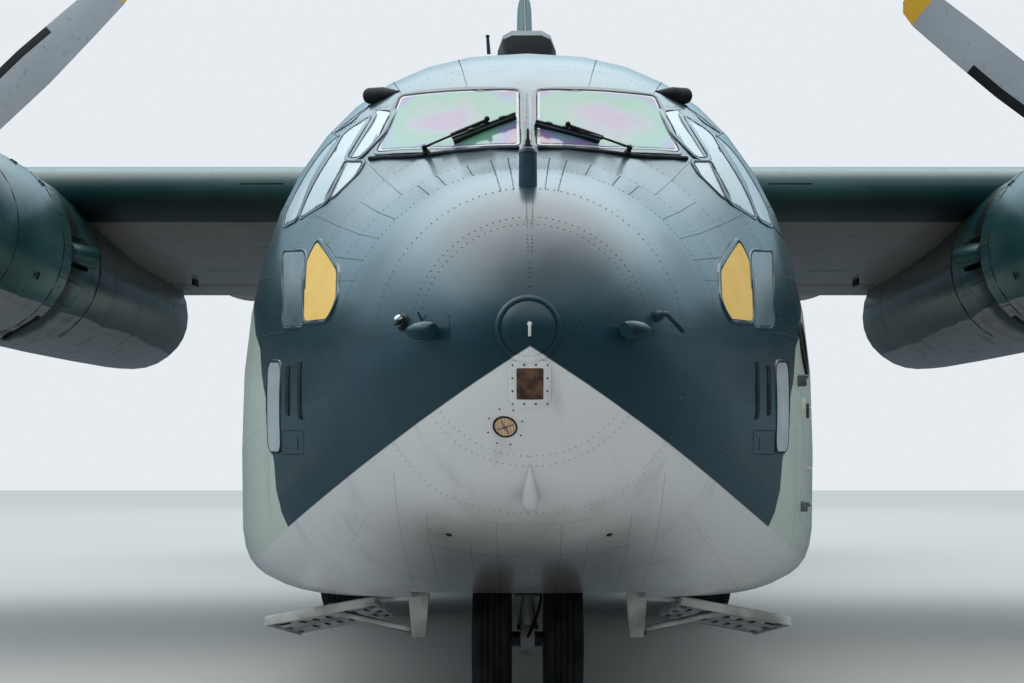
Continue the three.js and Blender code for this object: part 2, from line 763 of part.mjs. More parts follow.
nodes.rudder = control(FIN, RUDDER.from, RUDDER.to, RUDDER.share);

nodes.rear_fuselage_shell = without(
  tailOuter.subtract(tailInside(WALL)),
  rampOpening,
  upperSpace(0),
  tailGap,
).intersect(between(RAMP_HINGE, LENGTH + 10));

// Wing panels with their controls
const TIP_RINGS = [
  [JOIN_X, 1],
  [10000, 1],
  [TIP_X, 1],
  [16560, 0.86],
  [HALF_SPAN, 0.55],
];

// The outer wing with its rounded tip; growing it also reaches a little further inboard.
function outerWing(grow) {
  return loft(TIP_RINGS.map(([x, size]) => shrunkRing(foilRing(WING_OUTER, x, 0, grow), size)));
}
const wingLeft = outerWing(0);

const spaces = {};
for (const { name, panel: surface, from, to, share } of CONTROLS) {
  spaces[name] = controlSpace(surface, from, to, share);
  nodes[name + "_left"] = control(surface, from, to, share);
  nodes[name + "_right"] = mirrored(nodes[name + "_left"]);
}
nodes.wing_outer_left = without(wingLeft, spaces.flap_outer, spaces.aileron);
nodes.wing_outer_right = mirrored(nodes.wing_outer_left);
nodes.wing_centre = without(centreWing(0), spaces.flap_inner, mirrored(spaces.flap_inner));

// Engines, cowls and nacelles
// Both are turned bodies, as [distance behind the front, radius] rows.
const COWL = [
  [0, 520],
  [60, 590],
  [200, 660],
  [500, 725],
  [900, 745],
  [1250, 740],
  [1250, 715],
  [900, 715],
  [250, 620],
  [60, 510],
  [0, 520],
];
const NACELLE = [
  [0, 0],
  [0, 690],
  [300, 735],
  [1400, 720],
  [2600, 690],
  [3700, 655],
  [4250, 615],
  [4600, 530],
  [4850, 370],
  [4950, 200],
  [4980, 0],
];
const COWL_STATION = 4760;
const NACELLE_STATION = 6020;
const NACELLE_SIDES = 28;
// An exhaust stub on each side of a nacelle, lying in a round-bottomed recess
const EXHAUST = { from: 6050, to: 6470, offsets: [640, 750], drop: 20, radius: 78 };
const RECESS = { from: 5990, to: 6430, offsets: [770, 830], drop: 0, radius: 165 };

function sideBar({ from, to, offsets, drop, radius }, side, sides) {
  return bar(
    [ENGINE_X + side * offsets[0], yAt(from), ENGINE_Z],
    [ENGINE_X + side * offsets[1], yAt(to), ENGINE_Z - drop],
    radius,
    sides,
  );
}
const cowl = turned([ENGINE_X, yAt(COWL_STATION), ENGINE_Z], COWL, NACELLE_SIDES);
nodes.cowl_left = cowl;
nodes.cowl_right = mirrored(cowl);
const JOINT_RING = { station: 5990, radius: 712, length: 140 };
const jointRing = cylinder(
  "y",
  [ENGINE_X, yAt(JOINT_RING.station), ENGINE_Z],
  JOINT_RING.radius,
  JOINT_RING.length,
  NACELLE_SIDES,
);
const bothSides = [-1, 1];
const nacelleBody = turned([ENGINE_X, yAt(NACELLE_STATION), ENGINE_Z], NACELLE, NACELLE_SIDES);
const nacelle = without(
  joined(
    without(nacelleBody, bothSides.map((side) => sideBar(RECESS, side, 16))),
    bothSides.map((side) => sideBar(EXHAUST, side, 14)),
    jointRing,
  ),
  centreWing(GAP),
  outerWing(GAP),
  cowl,
  spaces.flap_inner,
  spaces.flap_outer,
);
nodes.nacelle_left = largest(nacelle);
nodes.nacelle_right = mirrored(nodes.nacelle_left);

// A two-row radial engine: the turned crankcase, and nine cylinders in each row
const CRANKCASE_STATION = 4560;
const CRANKCASE = [[0, 0], [0, 120], [180, 200], [300, 250], [420, 250], [1350, 280], [1350, 0]];
const CYLINDER = { count: 9, foot: 238, head: 585, radius: 80 };
const CYLINDER_ROWS = [
  { station: 5080, turn: 0 },
  { station: 5400, turn: 180 / CYLINDER.count },
];
const engineCore = turned([ENGINE_X, yAt(CRANKCASE_STATION), ENGINE_Z], CRANKCASE, 24);
const cylinders = CYLINDER_ROWS.flatMap(({ station, turn }) =>
  Array.from({ length: CYLINDER.count }, (_, i) => {
    const angle = rad((360 / CYLINDER.count) * i + turn);
    const at = (r) => [ENGINE_X + r * Math.cos(angle), yAt(station), ENGINE_Z + r * Math.sin(angle)];
    return bar(at(CYLINDER.foot), at(CYLINDER.head), CYLINDER.radius, 6);
  }),
);
nodes.engine_left = without(joined(engineCore, cylinders), jointRing);
nodes.engine_right = mirrored(nodes.engine_left);

// Propellers
const BLADE = table(
  ["radius", "chord", "thick", "twist"],
  [
    [150, 130, 120, 30],
    [420, 190, 90, 22],
    [900, 290, 60, 8],
    [1400, 315, 40, 0],
    [1800, 290, 28, -6],
    [2150, 260, 18, -11],
    [2260, 205, 15, -12],
    [PROP_RADIUS, 90, 12, -12],
  ],
);
const BLADES = 3;
// Angle of each propeller's first blade from +X, as parked
const FIRST_BLADE = { left: 141, right: 43.5 };
// The blade's section as shares of its chord and of its thickness
const BLADE_RING = [
  [-0.5, 0], [-0.3, 0.5], [0.1, 0.5], [0.5, 0.08],
  [0.5, -0.08], [0.1, -0.45], [-0.3, -0.45],
];

const HUB = [
  [-330, 0], [-320, 60], [-250, 110], [-120, 130],
  [-110, 190], [110, 190], [190, 120], [190, 0],
];

// One blade pointing along +X of the propeller's own plane, its chord turned by its twist.
function blade() {
  return loft(
    BLADE.map(({ radius, chord, thick, twist }) =>
      BLADE_RING.map(([u, v]) => {
        const angle = rad(90 - twist);
        const [a, b] = [u * chord, v * thick];
        return [
          radius,
          a * Math.cos(angle) + b * Math.sin(angle),
          b * Math.cos(angle) - a * Math.sin(angle),
        ];
      }),
    ),
  );
}

function propeller(x, firstBlade) {
  const one = blade();
  const turnedBlades = Array.from({ length: BLADES }, (_, i) => {
    const angle = firstBlade + (360 / BLADES) * i;
    return one.rotate([0, -angle, 0]);
  });
  return joined(turned([0, 0, 0], HUB, 24), turnedBlades).translate([x, yAt(PROP_STATION), ENGINE_Z]);
}

nodes.propeller_left = propeller(ENGINE_X, FIRST_BLADE.left);
nodes.propeller_right = propeller(-ENGINE_X, FIRST_BLADE.right);

// Auxiliary jets under the outer wings, with an inlet ahead and a jet pipe behind
const POD = { x: 7000, z: 2700, station: 6300 };
const POD_OUTSIDE = [[0, 280], [60, 330], [500, 420], [1500, 440], [2500, 400], [3300, 260]];
const POD_INSIDE = [[3300, 200], [3000, 200], [3000, 0], [500, 0], [500, 250], [60, 260], [0, 280]];
const podBody = turned([POD.x, yAt(POD.station), POD.z], [...POD_OUTSIDE, ...POD_INSIDE], 20);
const PYLON = table(
  ["z", "lead", "chord", "half"],
  [
    [3000, 6800, 2600, 90],
    [4100, 7000, 2400, 90],
  ],
);
// The pylon's section as shares of its chord and of its half width
const PYLON_RING = [[0, 0], [0.25, 1], [0.7, 1], [1, 0], [0.7, -1], [0.25, -1]];
const pylon = without(
  loft(
    PYLON.map(({ z, lead, chord, half }) =>
      PYLON_RING.map(([u, v]) => [POD.x + v * half, yAt(lead + chord * u), z]),
    ),
  ),
  outerWing(GAP),
);
const lowest = (solid) => solid.boundingBox().min[2];
const pylonPart = pylon.decompose().sort((a, b) => lowest(a) - lowest(b))[0];
nodes.jet_pod_left = podBody.add(pylonPart);
nodes.jet_pod_right = mirrored(nodes.jet_pod_left);

// Landing gear

// A tyre and its dished hub in one turned body, the axle along X.
function wheel([x, y, z], radius, width, hubWidth) {
  const [h, r] = [width / 2, radius];
  const profile = [
    [-hubWidth / 2, 0],
    [-hubWidth / 2, r * 0.42],
    [-h * 0.72, r * 0.5],
    [-h, r * 0.72],
    [-h * 0.82, r * 0.93],
    [-h * 0.4, r],
    [h * 0.4, r],
    [h * 0.82, r * 0.93],
    [h, r * 0.72],
    [h * 0.72, r * 0.5],
    [hubWidth / 2, r * 0.42],
    [hubWidth / 2, 0],
  ];
  const lathe = new THREE.LatheGeometry(profile.map(([a, b]) => new THREE.Vector2(b, a)), 22);
  lathe.rotateZ(-Math.PI / 2);
  lathe.translate(x, y, z);
  return solidOf(lathe);
}

// Nose gear: twin wheels on one axle, the steered sliding tube that carries it, and the fixed leg
const NOSE_AXLE_RADIUS = 45;
const NOSE_AXLE_HEAD = { radius: 90, width: 80, bore: 47 };
const NOSE_SLIDER = { radius: 36, from: 410, to: 830 };
const NOSE_PISTON = { radius: 75, from: 670, to: 930 };
const NOSE_LEG = { radius: 110, from: 920, to: 1100 };
const NOSE_BEAM = { half: 560, depth: 60, from: 1000, to: 1095 };
const NOSE_DRAG = { x: 200, from: 20, to: 560, low: 1050, high: 1060, radius: 40 };

const noseAxle = [0, yAt(NOSE_WHEEL.station), NOSE_WHEEL.radius];
const noseY = noseAxle[1];
// A tube of the nose gear, standing between two heights over the axle.
const upright = ({ radius, from, to }, sides = 20) =>
  cylinder("z", [0, noseY, (from + to) / 2], radius, to - from, sides);
const noseTyres = [-NOSE_WHEEL.x, NOSE_WHEEL.x].map((x) =>
  wheel([x, noseY, NOSE_WHEEL.radius], NOSE_WHEEL.radius, NOSE_WHEEL.width, 150),
);
nodes.nose_wheels = joined(noseTyres, cylinder("x", noseAxle, NOSE_AXLE_RADIUS, 2 * NOSE_WHEEL.x, 20));
nodes.nose_fork = without(
  joined(
    cylinder("x", noseAxle, NOSE_AXLE_HEAD.radius, NOSE_AXLE_HEAD.width, 20),
    upright(NOSE_SLIDER, 16),
    upright(NOSE_PISTON),
  ),
  cylinder("x", noseAxle, NOSE_AXLE_HEAD.bore, 200, 20),
);
const noseDrags = [-NOSE_DRAG.x, NOSE_DRAG.x].map((x) => {
  const { from, to, low, high, radius } = NOSE_DRAG;
  return bar([x, noseY + from, low], [x, noseY + to, high], radius);
});
nodes.nose_leg = without(
  joined(
    upright(NOSE_LEG),
    box(
      [-NOSE_BEAM.half, noseY - NOSE_BEAM.depth, NOSE_BEAM.from],
      [NOSE_BEAM.half, noseY + NOSE_BEAM.depth, NOSE_BEAM.to],
    ),
    noseDrags,
  ),
  upright({ radius: NOSE_PISTON.radius + 1, from: NOSE_PISTON.from - 1, to: NOSE_PISTON.to + 1 }),
);

// Main gear: two wheels in line on each side, on a beam that a leaning strut ties to the hull
const MAIN_AXLE = { x: 1760, radius: 60, length: 440, bore: 61 };
const MAIN_BEAM = { x: [1540, 1620], z: [490, 630], overhang: 110 };
const MAIN_STRUT = table(
  ["x0", "z0", "x1", "z1", "radius"],
  [
    [1600, 560, 1740, 900, 62],
    [1740, 860, 1740, 1100, 75],
  ],
);
const wheelNames = ["front", "rear"];
MAIN_WHEEL.stations.forEach((station, i) => {
  const middle = [MAIN_WHEEL.x, yAt(station), MAIN_WHEEL.radius];
  const main = without(
    wheel(middle, MAIN_WHEEL.radius, MAIN_WHEEL.width, 240),
    cylinder("x", middle, MAIN_AXLE.bore, 400, 20),
  );
  nodes["main_wheel_left_" + wheelNames[i]] = main;
  nodes["main_wheel_right_" + wheelNames[i]] = mirrored(main);
});
const [frontAxle, rearAxle] = MAIN_WHEEL.stations;
const legStation = (frontAxle + rearAxle) / 2;
// The strut of a main leg, a little larger where it is cut out of its neighbours.
function mainStrut(grow) {
  const y = yAt(legStation);
  return joined(
    MAIN_STRUT.map(({ x0, z0, x1, z1, radius }) => {
      const over = x0 === x1 ? grow : 0;
      return bar([x0, y, z0], [x1, y, z1 + over], radius + grow, 12);
    }),
  );
}
const mainAxles = MAIN_WHEEL.stations.map((station) =>
  cylinder("x", [MAIN_AXLE.x, yAt(station), MAIN_WHEEL.radius], MAIN_AXLE.radius, MAIN_AXLE.length, 20),
);
const mainBeam = box(
  [MAIN_BEAM.x[0], yAt(frontAxle) - MAIN_BEAM.overhang, MAIN_BEAM.z[0]],
  [MAIN_BEAM.x[1], yAt(rearAxle) + MAIN_BEAM.overhang, MAIN_BEAM.z[1]],
);
const mainLeg = joined(mainAxles, mainBeam, mainStrut(0));

// The fairing over the main wheels: how far it stands out of the hull, and its height
const SPONSON = table(
  ["station", "reach", "low", "high"],
  [
    [7350, 60, 1180, 1420],
    [7700, 260, 1020, 1620],
    [8200, 380, 900, 1780],
    [9300, 400, 880, 1820],
    [10500, 380, 900, 1780],
    [11000, 260, 1020, 1620],
    [11500, 60, 1180, 1420],
  ],
);
const SPONSON_ROOT = { inside: 1500, skin: 1740 };
const sponsonBody = loft(
  SPONSON.map(({ station, reach, low, high }) => {
    const y = yAt(station);
    const outer = SPONSON_ROOT.skin + reach;
    const rise = high - low;
    return [
      [SPONSON_ROOT.inside, y, low],
      [outer - reach * 0.25, y, low],
      [outer, y, low + rise * 0.22],
      [outer, y, low + rise * 0.6],
      [outer - reach * 0.35, y, low + rise * 0.9],
      [SPONSON_ROOT.inside, y, high + rise * 0.25],
    ];
  }),
);
const legClearance = mainStrut(1);
const sponson = without(sponsonBody, hull(-GAP), wheelArches, legClearance);
nodes.sponson_left = largest(sponson);
nodes.sponson_right = mirrored(nodes.sponson_left);
nodes.fuselage_shell = without(nodes.fuselage_shell, legClearance, mirrored(legClearance));
nodes.main_leg_left = mainLeg;
nodes.main_leg_right = mirrored(mainLeg);

// Nose-gear doors, swung right out on their posts
const BAY_DOOR = { inner: [820, 700], outer: [1410, 590], thick: 30 };
const BAY_DOOR_ENDS = [
  { station: 2300, drop: 0 },
  { station: 3450, drop: 180 },
];
const BAY_POST = { x: [560, 620], from: 2360, to: 2420, z: [480, 760] };
const BAY_RODS = table(
  ["x0", "z0", "x1", "z1", "radius"],
  [
    [590, 510, 1100, 615, 14],
    [590, 700, 860, 680, 20],
  ],
);
const BAY_ROD_STATIONS = [2390, 2440];
const bayPanel = loft(
  BAY_DOOR_ENDS.map(({ station, drop }) => {
    const [y, { inner, outer, thick }] = [yAt(station), BAY_DOOR];
    return [
      [inner[0], y, inner[1] - drop],
      [outer[0], y, outer[1] - drop],
      [outer[0], y, outer[1] - thick - drop],
      [inner[0], y, inner[1] - thick - drop],
    ];
  }),
);
const bayPost = box(
  [BAY_POST.x[0], yAt(BAY_POST.from), BAY_POST.z[0]],
  [BAY_POST.x[1], yAt(BAY_POST.to), BAY_POST.z[1]],
);
const bayRods = BAY_RODS.map(({ x0, z0, x1, z1, radius }) => {
  const [foot, end] = BAY_ROD_STATIONS.map(yAt);
  return bar([x0, foot, z0], [x1, end, z1], radius, 8);
});
const bayDoor = joined(bayPanel, bayPost, bayRods);
nodes.nose_gear_door_left = without(bayDoor, hull(-GAP));
nodes.nose_gear_door_right = mirrored(nodes.nose_gear_door_left);

// Colours, and the group that holds every piece
const PAINT = table(
  ["match", "colour", "roughness", "metalness"],
  [
    [/glazing|windows/, 0xaebdb8, 0.1, 0],
    [/scoop/, 0x121315, 0.6, 0],
    [/wheel/, 0x1d1d1e, 0.85, 0],
    [/leg|fork/, 0xb5b8ba, 0.35, 0.8],
    [/engine/, 0x4a4d50, 0.5, 0.8],
    [/propeller/, 0x8c9196, 0.4, 0.6],
    [/nose_cap/, 0x3c4c55, 0.35, 0],
    [/wing|nacelle|cowl|flap|aileron/, 0x264d4a, 0.45, 0],
    [/flight_deck/, 0x3a3d3c, 0.7, 0],
    [/floor|ramp/, 0x6c7069, 0.7, 0],
    [/./, 0xd6ddcf, 0.45, 0],
  ],
);

function meshOf(name, solid) {
  const { vertProperties, triVerts, numProp } = solid.getMesh();
  const positions = new Float32Array((vertProperties.length / numProp) * 3);
  for (let i = 0; i * numProp < vertProperties.length; i += 1) {
    positions.set(vertProperties.subarray(i * numProp, i * numProp + 3), i * 3);
  }
  const geometry = new THREE.BufferGeometry();
  geometry.setAttribute("position", new THREE.BufferAttribute(positions, 3));
  geometry.setIndex(new THREE.BufferAttribute(new Uint32Array(triVerts), 1));
  const { colour, roughness, metalness } = PAINT.find((row) => row.match.test(name));
  const mesh = new THREE.Mesh(
    geometry,
    new THREE.MeshStandardMaterial({ color: colour, roughness, metalness }),
  );
  mesh.name = name;
  return mesh;
}

const aeroplane = new THREE.Group();
for (const [name, solid] of Object.entries(nodes)) aeroplane.add(meshOf(name, solid));

export default aeroplane;
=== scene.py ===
# %% [markdown]
# # A twin-engine military transport plane
#
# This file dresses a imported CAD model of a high-wing transport aeroplane in Blender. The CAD
# model gives every solid its true size and place; this script adds what CAD leaves plain: paint,
# glass, rivets, wipers, tyre tread and the many small fittings of the nose.

# %% Load the frame
import json
import math

import bmesh
import bpy
import numpy as np
from mathutils import Matrix, Vector
from mathutils.bvhtree import BVHTree

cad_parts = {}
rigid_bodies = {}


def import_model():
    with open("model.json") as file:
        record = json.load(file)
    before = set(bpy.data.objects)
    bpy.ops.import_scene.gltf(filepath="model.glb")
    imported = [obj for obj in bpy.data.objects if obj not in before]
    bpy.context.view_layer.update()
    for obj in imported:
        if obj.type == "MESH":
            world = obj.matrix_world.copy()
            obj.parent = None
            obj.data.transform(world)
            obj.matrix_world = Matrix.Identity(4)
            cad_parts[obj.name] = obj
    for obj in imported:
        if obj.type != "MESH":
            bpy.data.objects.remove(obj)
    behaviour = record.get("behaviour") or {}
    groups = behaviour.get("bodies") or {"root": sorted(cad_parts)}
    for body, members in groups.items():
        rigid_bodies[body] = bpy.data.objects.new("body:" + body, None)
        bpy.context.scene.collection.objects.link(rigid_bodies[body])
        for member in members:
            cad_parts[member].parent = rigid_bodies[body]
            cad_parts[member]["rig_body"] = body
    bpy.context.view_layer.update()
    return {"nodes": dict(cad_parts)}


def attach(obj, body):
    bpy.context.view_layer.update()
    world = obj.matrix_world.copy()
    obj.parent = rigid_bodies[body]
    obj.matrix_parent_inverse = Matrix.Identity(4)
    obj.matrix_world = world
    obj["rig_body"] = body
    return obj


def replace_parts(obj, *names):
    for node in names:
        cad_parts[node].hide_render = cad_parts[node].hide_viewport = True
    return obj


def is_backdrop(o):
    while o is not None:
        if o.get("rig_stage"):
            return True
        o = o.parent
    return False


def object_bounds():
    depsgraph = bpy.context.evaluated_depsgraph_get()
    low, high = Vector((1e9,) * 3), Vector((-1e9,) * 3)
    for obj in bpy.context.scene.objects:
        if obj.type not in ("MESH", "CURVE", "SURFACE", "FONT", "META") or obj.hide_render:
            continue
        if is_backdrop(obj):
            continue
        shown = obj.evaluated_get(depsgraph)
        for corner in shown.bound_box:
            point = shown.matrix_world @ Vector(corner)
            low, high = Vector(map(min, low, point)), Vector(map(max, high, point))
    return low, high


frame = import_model()

# %% [markdown]
# Every place on the aeroplane is easiest to name as a drawing office does: by its station,
# which is the distance behind the nose tip. The next cell turns stations into the frame's Y.

# %% Stations and sizes
NOSE_Y = -11.625
ENGINE = Vector((4.42, 0, 3.22))
PROP_STATION = 4.36
SIDES = (-1, 1)
FORWARD = Vector((0, -1, 0))
BACK = Vector((0, 1, 0))
UP = Vector((0, 0, 1))
ACROSS = Vector((1, 0, 0))


def at(x, station, z):
    """A point given by its distance from the nose tip."""
    return Vector((x, NOSE_Y + station, z))


def spoke(turn):
    """The direction at an angle in radians: 0 points to +X and a quarter turn points up."""
    return Vector((math.cos(turn), 0, math.sin(turn)))


print("The nose is at Y", NOSE_Y, "and the propellers turn at Y", round(NOSE_Y + PROP_STATION, 3))

# %% [markdown]
# ## The camera
#
# The photograph was taken from close ahead of the nose, at chest height, with a lens that
# looks level along the aeroplane. A level camera with a little vertical shift keeps upright
# lines upright, which tilting the camera would not do.

# %% Camera
SENSOR_WIDTH = 36
PHOTO_WIDTH = 1024
PHOTO_HEIGHT = 683
FOCAL_PIXELS = 1350
VANISHING_POINT = (523, 484)
VIEW_DISTANCE = 4.95
VIEW_HEIGHT = 1.31

camera_data = bpy.data.cameras.new("camera")
camera_data.sensor_width = SENSOR_WIDTH
camera_data.lens = SENSOR_WIDTH * FOCAL_PIXELS / PHOTO_WIDTH
camera_data.shift_x = -(VANISHING_POINT[0] - PHOTO_WIDTH / 2) / PHOTO_WIDTH
camera_data.shift_y = (VANISHING_POINT[1] - PHOTO_HEIGHT / 2) / PHOTO_WIDTH
camera_data.clip_end = 500
camera = bpy.data.objects.new("camera", camera_data)
camera.location = at(-0.026, -VIEW_DISTANCE, VIEW_HEIGHT)
camera.rotation_euler = (math.pi / 2, 0, 0)
bpy.context.scene.collection.objects.link(camera)
bpy.context.scene.camera = camera
print("Lens", round(camera_data.lens, 2), "mm")

# %% [markdown]
# ## The stage
#
# A plain pale floor under an overcast sky. The sky is a gradient, bright overhead and dim at
# the horizon, so that glossy paint is light where it faces up and dark where it faces ahead.
# It is dimmer straight ahead of the nose as well, which keeps the front of the nose dark.
# The camera itself sees an even pale backdrop. Four lamps fill the sides without showing
# in the paint. The floor throws its light back onto the underside, but stays out of the
# reflections, since a mirrored pale floor would wash out the dark paint.

# %% Floor and light
FLOOR_REACH = 260
FLOOR_COLOUR = (0.56, 0.54, 0.52, 1)
FLOOR_ROUGHNESS = 0.8
LIGHTS = [
    # name, place, size, power, aim
    ("left_light", (-36, -22, 26), 26, 2900, (0, -7, 2)),
    ("right_light", (38, -18, 25), 26, 2500, (0, -6, 2)),
    ("front_light", (-4, -54, 24), 24, 2900, (0, -9, 2)),
    ("tail_light", (0, 46, 34), 30, 2700, (0, 4, 3)),
]
SKY_BANDS = [
    # sine of the height above the horizon, colour
    (0.0, (0.04, 0.055, 0.065)), (0.2, (0.08, 0.12, 0.145)), (0.42, (0.25, 0.37, 0.44)),
    (0.62, (0.70, 0.88, 0.97)), (0.86, (0.94, 0.99, 1.0)),
]
SKY_STRENGTH = 2.1
SHADE_AXIS = (-0.45, 1, 0)
SHADE_AHEAD = 0.28
SHADE_FROM = -0.5
SHADE_TO = 0.32
BACKDROP = (0.80, 0.84, 0.88, 1)

floor_mesh = bpy.data.meshes.new("floor")
bm = bmesh.new()
bmesh.ops.create_grid(bm, x_segments=1, y_segments=1, size=FLOOR_REACH)
bm.to_mesh(floor_mesh)
bm.free()
floor = bpy.data.objects.new("floor", floor_mesh)
bpy.context.scene.collection.objects.link(floor)
floor_paint = bpy.data.materials.new("floor")
floor_paint.use_nodes = True
floor_inputs = floor_paint.node_tree.nodes["Principled BSDF"].inputs
floor_inputs["Base Color"].default_value = FLOOR_COLOUR
floor_inputs["Roughness"].default_value = FLOOR_ROUGHNESS
floor_mesh.materials.append(floor_paint)
floor.visible_glossy = False
floor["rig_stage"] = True

for name, place, size, power, aim in LIGHTS:
    data = bpy.data.lights.new(name, "AREA")
    data.size = size
    data.energy = power
    lamp = bpy.data.objects.new(name, data)
    lamp.location = place
    lamp.rotation_euler = (Vector(aim) - Vector(place)).to_track_quat("-Z", "Y").to_euler()
    lamp.visible_glossy = False
    bpy.context.scene.collection.objects.link(lamp)
print(len(LIGHTS), "lights")

# %% [markdown]
# ## Tools for shader nodes
#
# Building a material by hand means adding nodes and drawing links. A Value stands for one
# socket and knows its node tree, so a formula such as height * 0.5 + 1 can be written as it
# is read: every sign in it adds a Math node. put() adds any other shader node, step() is a
# soft threshold and mix() blends two colours. Each takes numbers, colours or Values.

# %% Node helpers
class Value:
    """A shader socket that can stand in a formula; every sign adds a Math node."""

    def __init__(self, socket):
        self.socket = socket
        self.tree = socket.id_data

    def __add__(self, other):
        return calc("ADD", self, other)

    def __sub__(self, other):
        return calc("SUBTRACT", self, other)

    def __rsub__(self, other):
        return calc("SUBTRACT", other, self)

    def __mul__(self, other):
        return calc("MULTIPLY", self, other)

    def __truediv__(self, other):
        return calc("DIVIDE", self, other)

    def __pow__(self, other):
        return calc("POWER", self, other)

    def __abs__(self):
        return calc("ABSOLUTE", self)


def srgb(code):
    """A screen colour such as 3c4c55 as the linear colour that shaders take."""
    values = [int(code[i : i + 2], 16) / 255 for i in (0, 2, 4)]
    linear = [((v + 0.055) / 1.055) ** 2.4 if v > 0.04045 else v / 12.92 for v in values]
    return (*linear, 1)


def feed(value, socket):
    if isinstance(value, Value):
        value.tree.links.new(value.socket, socket)
    else:
        socket.default_value = value


def put(tree, kind, inputs=(), output=0, **settings):
    """Adds a shader node and gives one output; inputs are fed by name or number."""
    made = tree.nodes.new("ShaderNode" + kind)
    for name, value in settings.items():
        setattr(made, name, value)
    for key, value in dict(inputs).items():
        feed(value, made.inputs[key])
    return Value(made.outputs[output])


def calc(operation, *values):
    """A Math node in the tree of the first Value among its inputs."""
    tree = next(value.tree for value in values if isinstance(value, Value))
    return put(tree, "Math", enumerate(values), operation=operation)


def larger(first, second):
    return calc("MAXIMUM", first, second)


def distance(first, second):
    """The length of a line that reaches so far in two directions."""
    return calc("SQRT", first**2 + second**2)


def step(value, low, high):
    """Rises softly from 0 at low to 1 at high, or falls where low is the larger."""
    inputs = {0: value, 1: low, 2: high}
    return put(value.tree, "MapRange", inputs, interpolation_type="SMOOTHSTEP")


def mix(factor, first, second):
    """A blend of two colours."""
    return put(factor.tree, "Mix", {0: factor, 6: first, 7: second}, 2, data_type="RGBA")


def noise(place, scale, detail):
    return put(place.tree, "TexNoise", {"Vector": place, "Scale": scale, "Detail": detail}, "Fac")


print("Node helpers are ready")

# %% [markdown]
# The sky is the first thing built with them. Its colour depends on the height of the
# direction a ray comes from, and its strength on how far that direction lies behind the
# aeroplane. Rays from the camera see the even backdrop instead.

# %% Sky
world = bpy.data.worlds.new("studio")
world.use_nodes = True
sky = world.node_tree
direction = put(sky, "TexCoord", output="Generated")
bands = put(sky, "ValToRGB", {0: put(sky, "SeparateXYZ", {0: direction}, "Z")})
ramp = bands.socket.node.color_ramp.elements
ramp.remove(ramp[1])
ramp[0].color = (*SKY_BANDS[0][1], 1)
for height, colour in SKY_BANDS[1:]:
    ramp.new(height).color = (*colour, 1)
behind = put(sky, "VectorMath", {0: direction, 1: SHADE_AXIS}, "Value", operation="DOT_PRODUCT")
strengths = {0: behind, 1: SHADE_FROM, 2: SHADE_TO, 3: SHADE_AHEAD * SKY_STRENGTH, 4: SKY_STRENGTH}
glow = sky.nodes["Background"]
feed(bands, glow.inputs["Color"])
feed(put(sky, "MapRange", strengths, interpolation_type="SMOOTHSTEP"), glow.inputs["Strength"])
backdrop = put(sky, "Background", {"Color": BACKDROP})
camera_ray = put(sky, "LightPath", output="Is Camera Ray")
shown = put(sky, "MixShader", {0: camera_ray, 1: Value(glow.outputs[0]), 2: backdrop})
feed(shown, sky.nodes["World Output"].inputs[0])
bpy.context.scene.world = world
bpy.context.scene.view_settings.view_transform = "Standard"
print(len(SKY_BANDS), "bands of sky")

# %% [markdown]
# A line on the aeroplane, such as the edge between two paints, is easiest to draw as a short
# list of corners. A Float Curve node holds them, so the shader can ask how high the line is.

# %% Drawn lines
def drawn_line(value, corners):
    """The height of a line of straight pieces through (value, height) corners."""
    xs, ys = zip(*corners)
    low, high = min(ys), max(ys)
    share = put(value.tree, "MapRange", {0: value, 1: xs[0], 2: xs[-1]})
    height = put(value.tree, "FloatCurve", {"Value": share})
    curve = height.socket.node
    points = curve.mapping.curves[0].points
    spots = [((x - xs[0]) / (xs[-1] - xs[0]), (y - low) / (high - low)) for x, y in corners]
    for spot in spots[1:-1]:
        points.new(*spot)
    points[0].location = spots[0]
    points[len(points) - 1].location = spots[-1]
    for point in points:
        point.handle_type = "VECTOR"
    curve.mapping.update()
    return put(value.tree, "MapRange", {0: height, 3: low, 4: high})


print("Drawn lines are ready")

# %% [markdown]
# ## Shared effects as node groups
#
# Four effects come back in many finishes, so each is a node group, built once.
# "panels" divides a skin into sheets with a dark seam, rows of rivets and a slightly
# different tone for each sheet. "weather" gives clouds of fading, rain streaks and grain.
# "dents" is the slow waviness of thin metal between its frames, which makes reflections swim.
# "chips" is bare metal where paint has flaked along seams and edges.

# %% Group helper
def values_of(sockets):
    return {socket.name: Value(socket) for socket in sockets}


def new_group(name, inputs, outputs):
    """An empty shader group; inputs map a label to its default, with None for a vector."""
    tree = bpy.data.node_groups.new(name, "ShaderNodeTree")
    for label, value in inputs.items():
        kind = "NodeSocketVector" if value is None else "NodeSocketFloat"
        socket = tree.interface.new_socket(name=label, in_out="INPUT", socket_type=kind)
        if value is not None:
            socket.default_value = value
    for label in outputs:
        tree.interface.new_socket(name=label, in_out="OUTPUT", socket_type="NodeSocketFloat")
    given = values_of(tree.nodes.new("NodeGroupInput").outputs)
    return tree, given, tree.nodes.new("NodeGroupOutput").inputs


def use(tree, group, **inputs):
    """Places a group in a tree and gives its outputs by name."""
    made = tree.nodes.new("ShaderNodeGroup")
    made.node_tree = group
    for name, value in inputs.items():
        feed(value, made.inputs[name])
    return values_of(made.outputs)


print("Groups can be built")

# %% [markdown]
# The first group draws the sheets. Distances to the nearest seam and the nearest rivet come
# from a Ping-Pong node, which folds a long ruler into one that runs to and fro.

# %% Panels
SEAM_HALF = 0.0011
RIVET_RADIUS = 0.0045
RIVET_SETBACK = 0.022

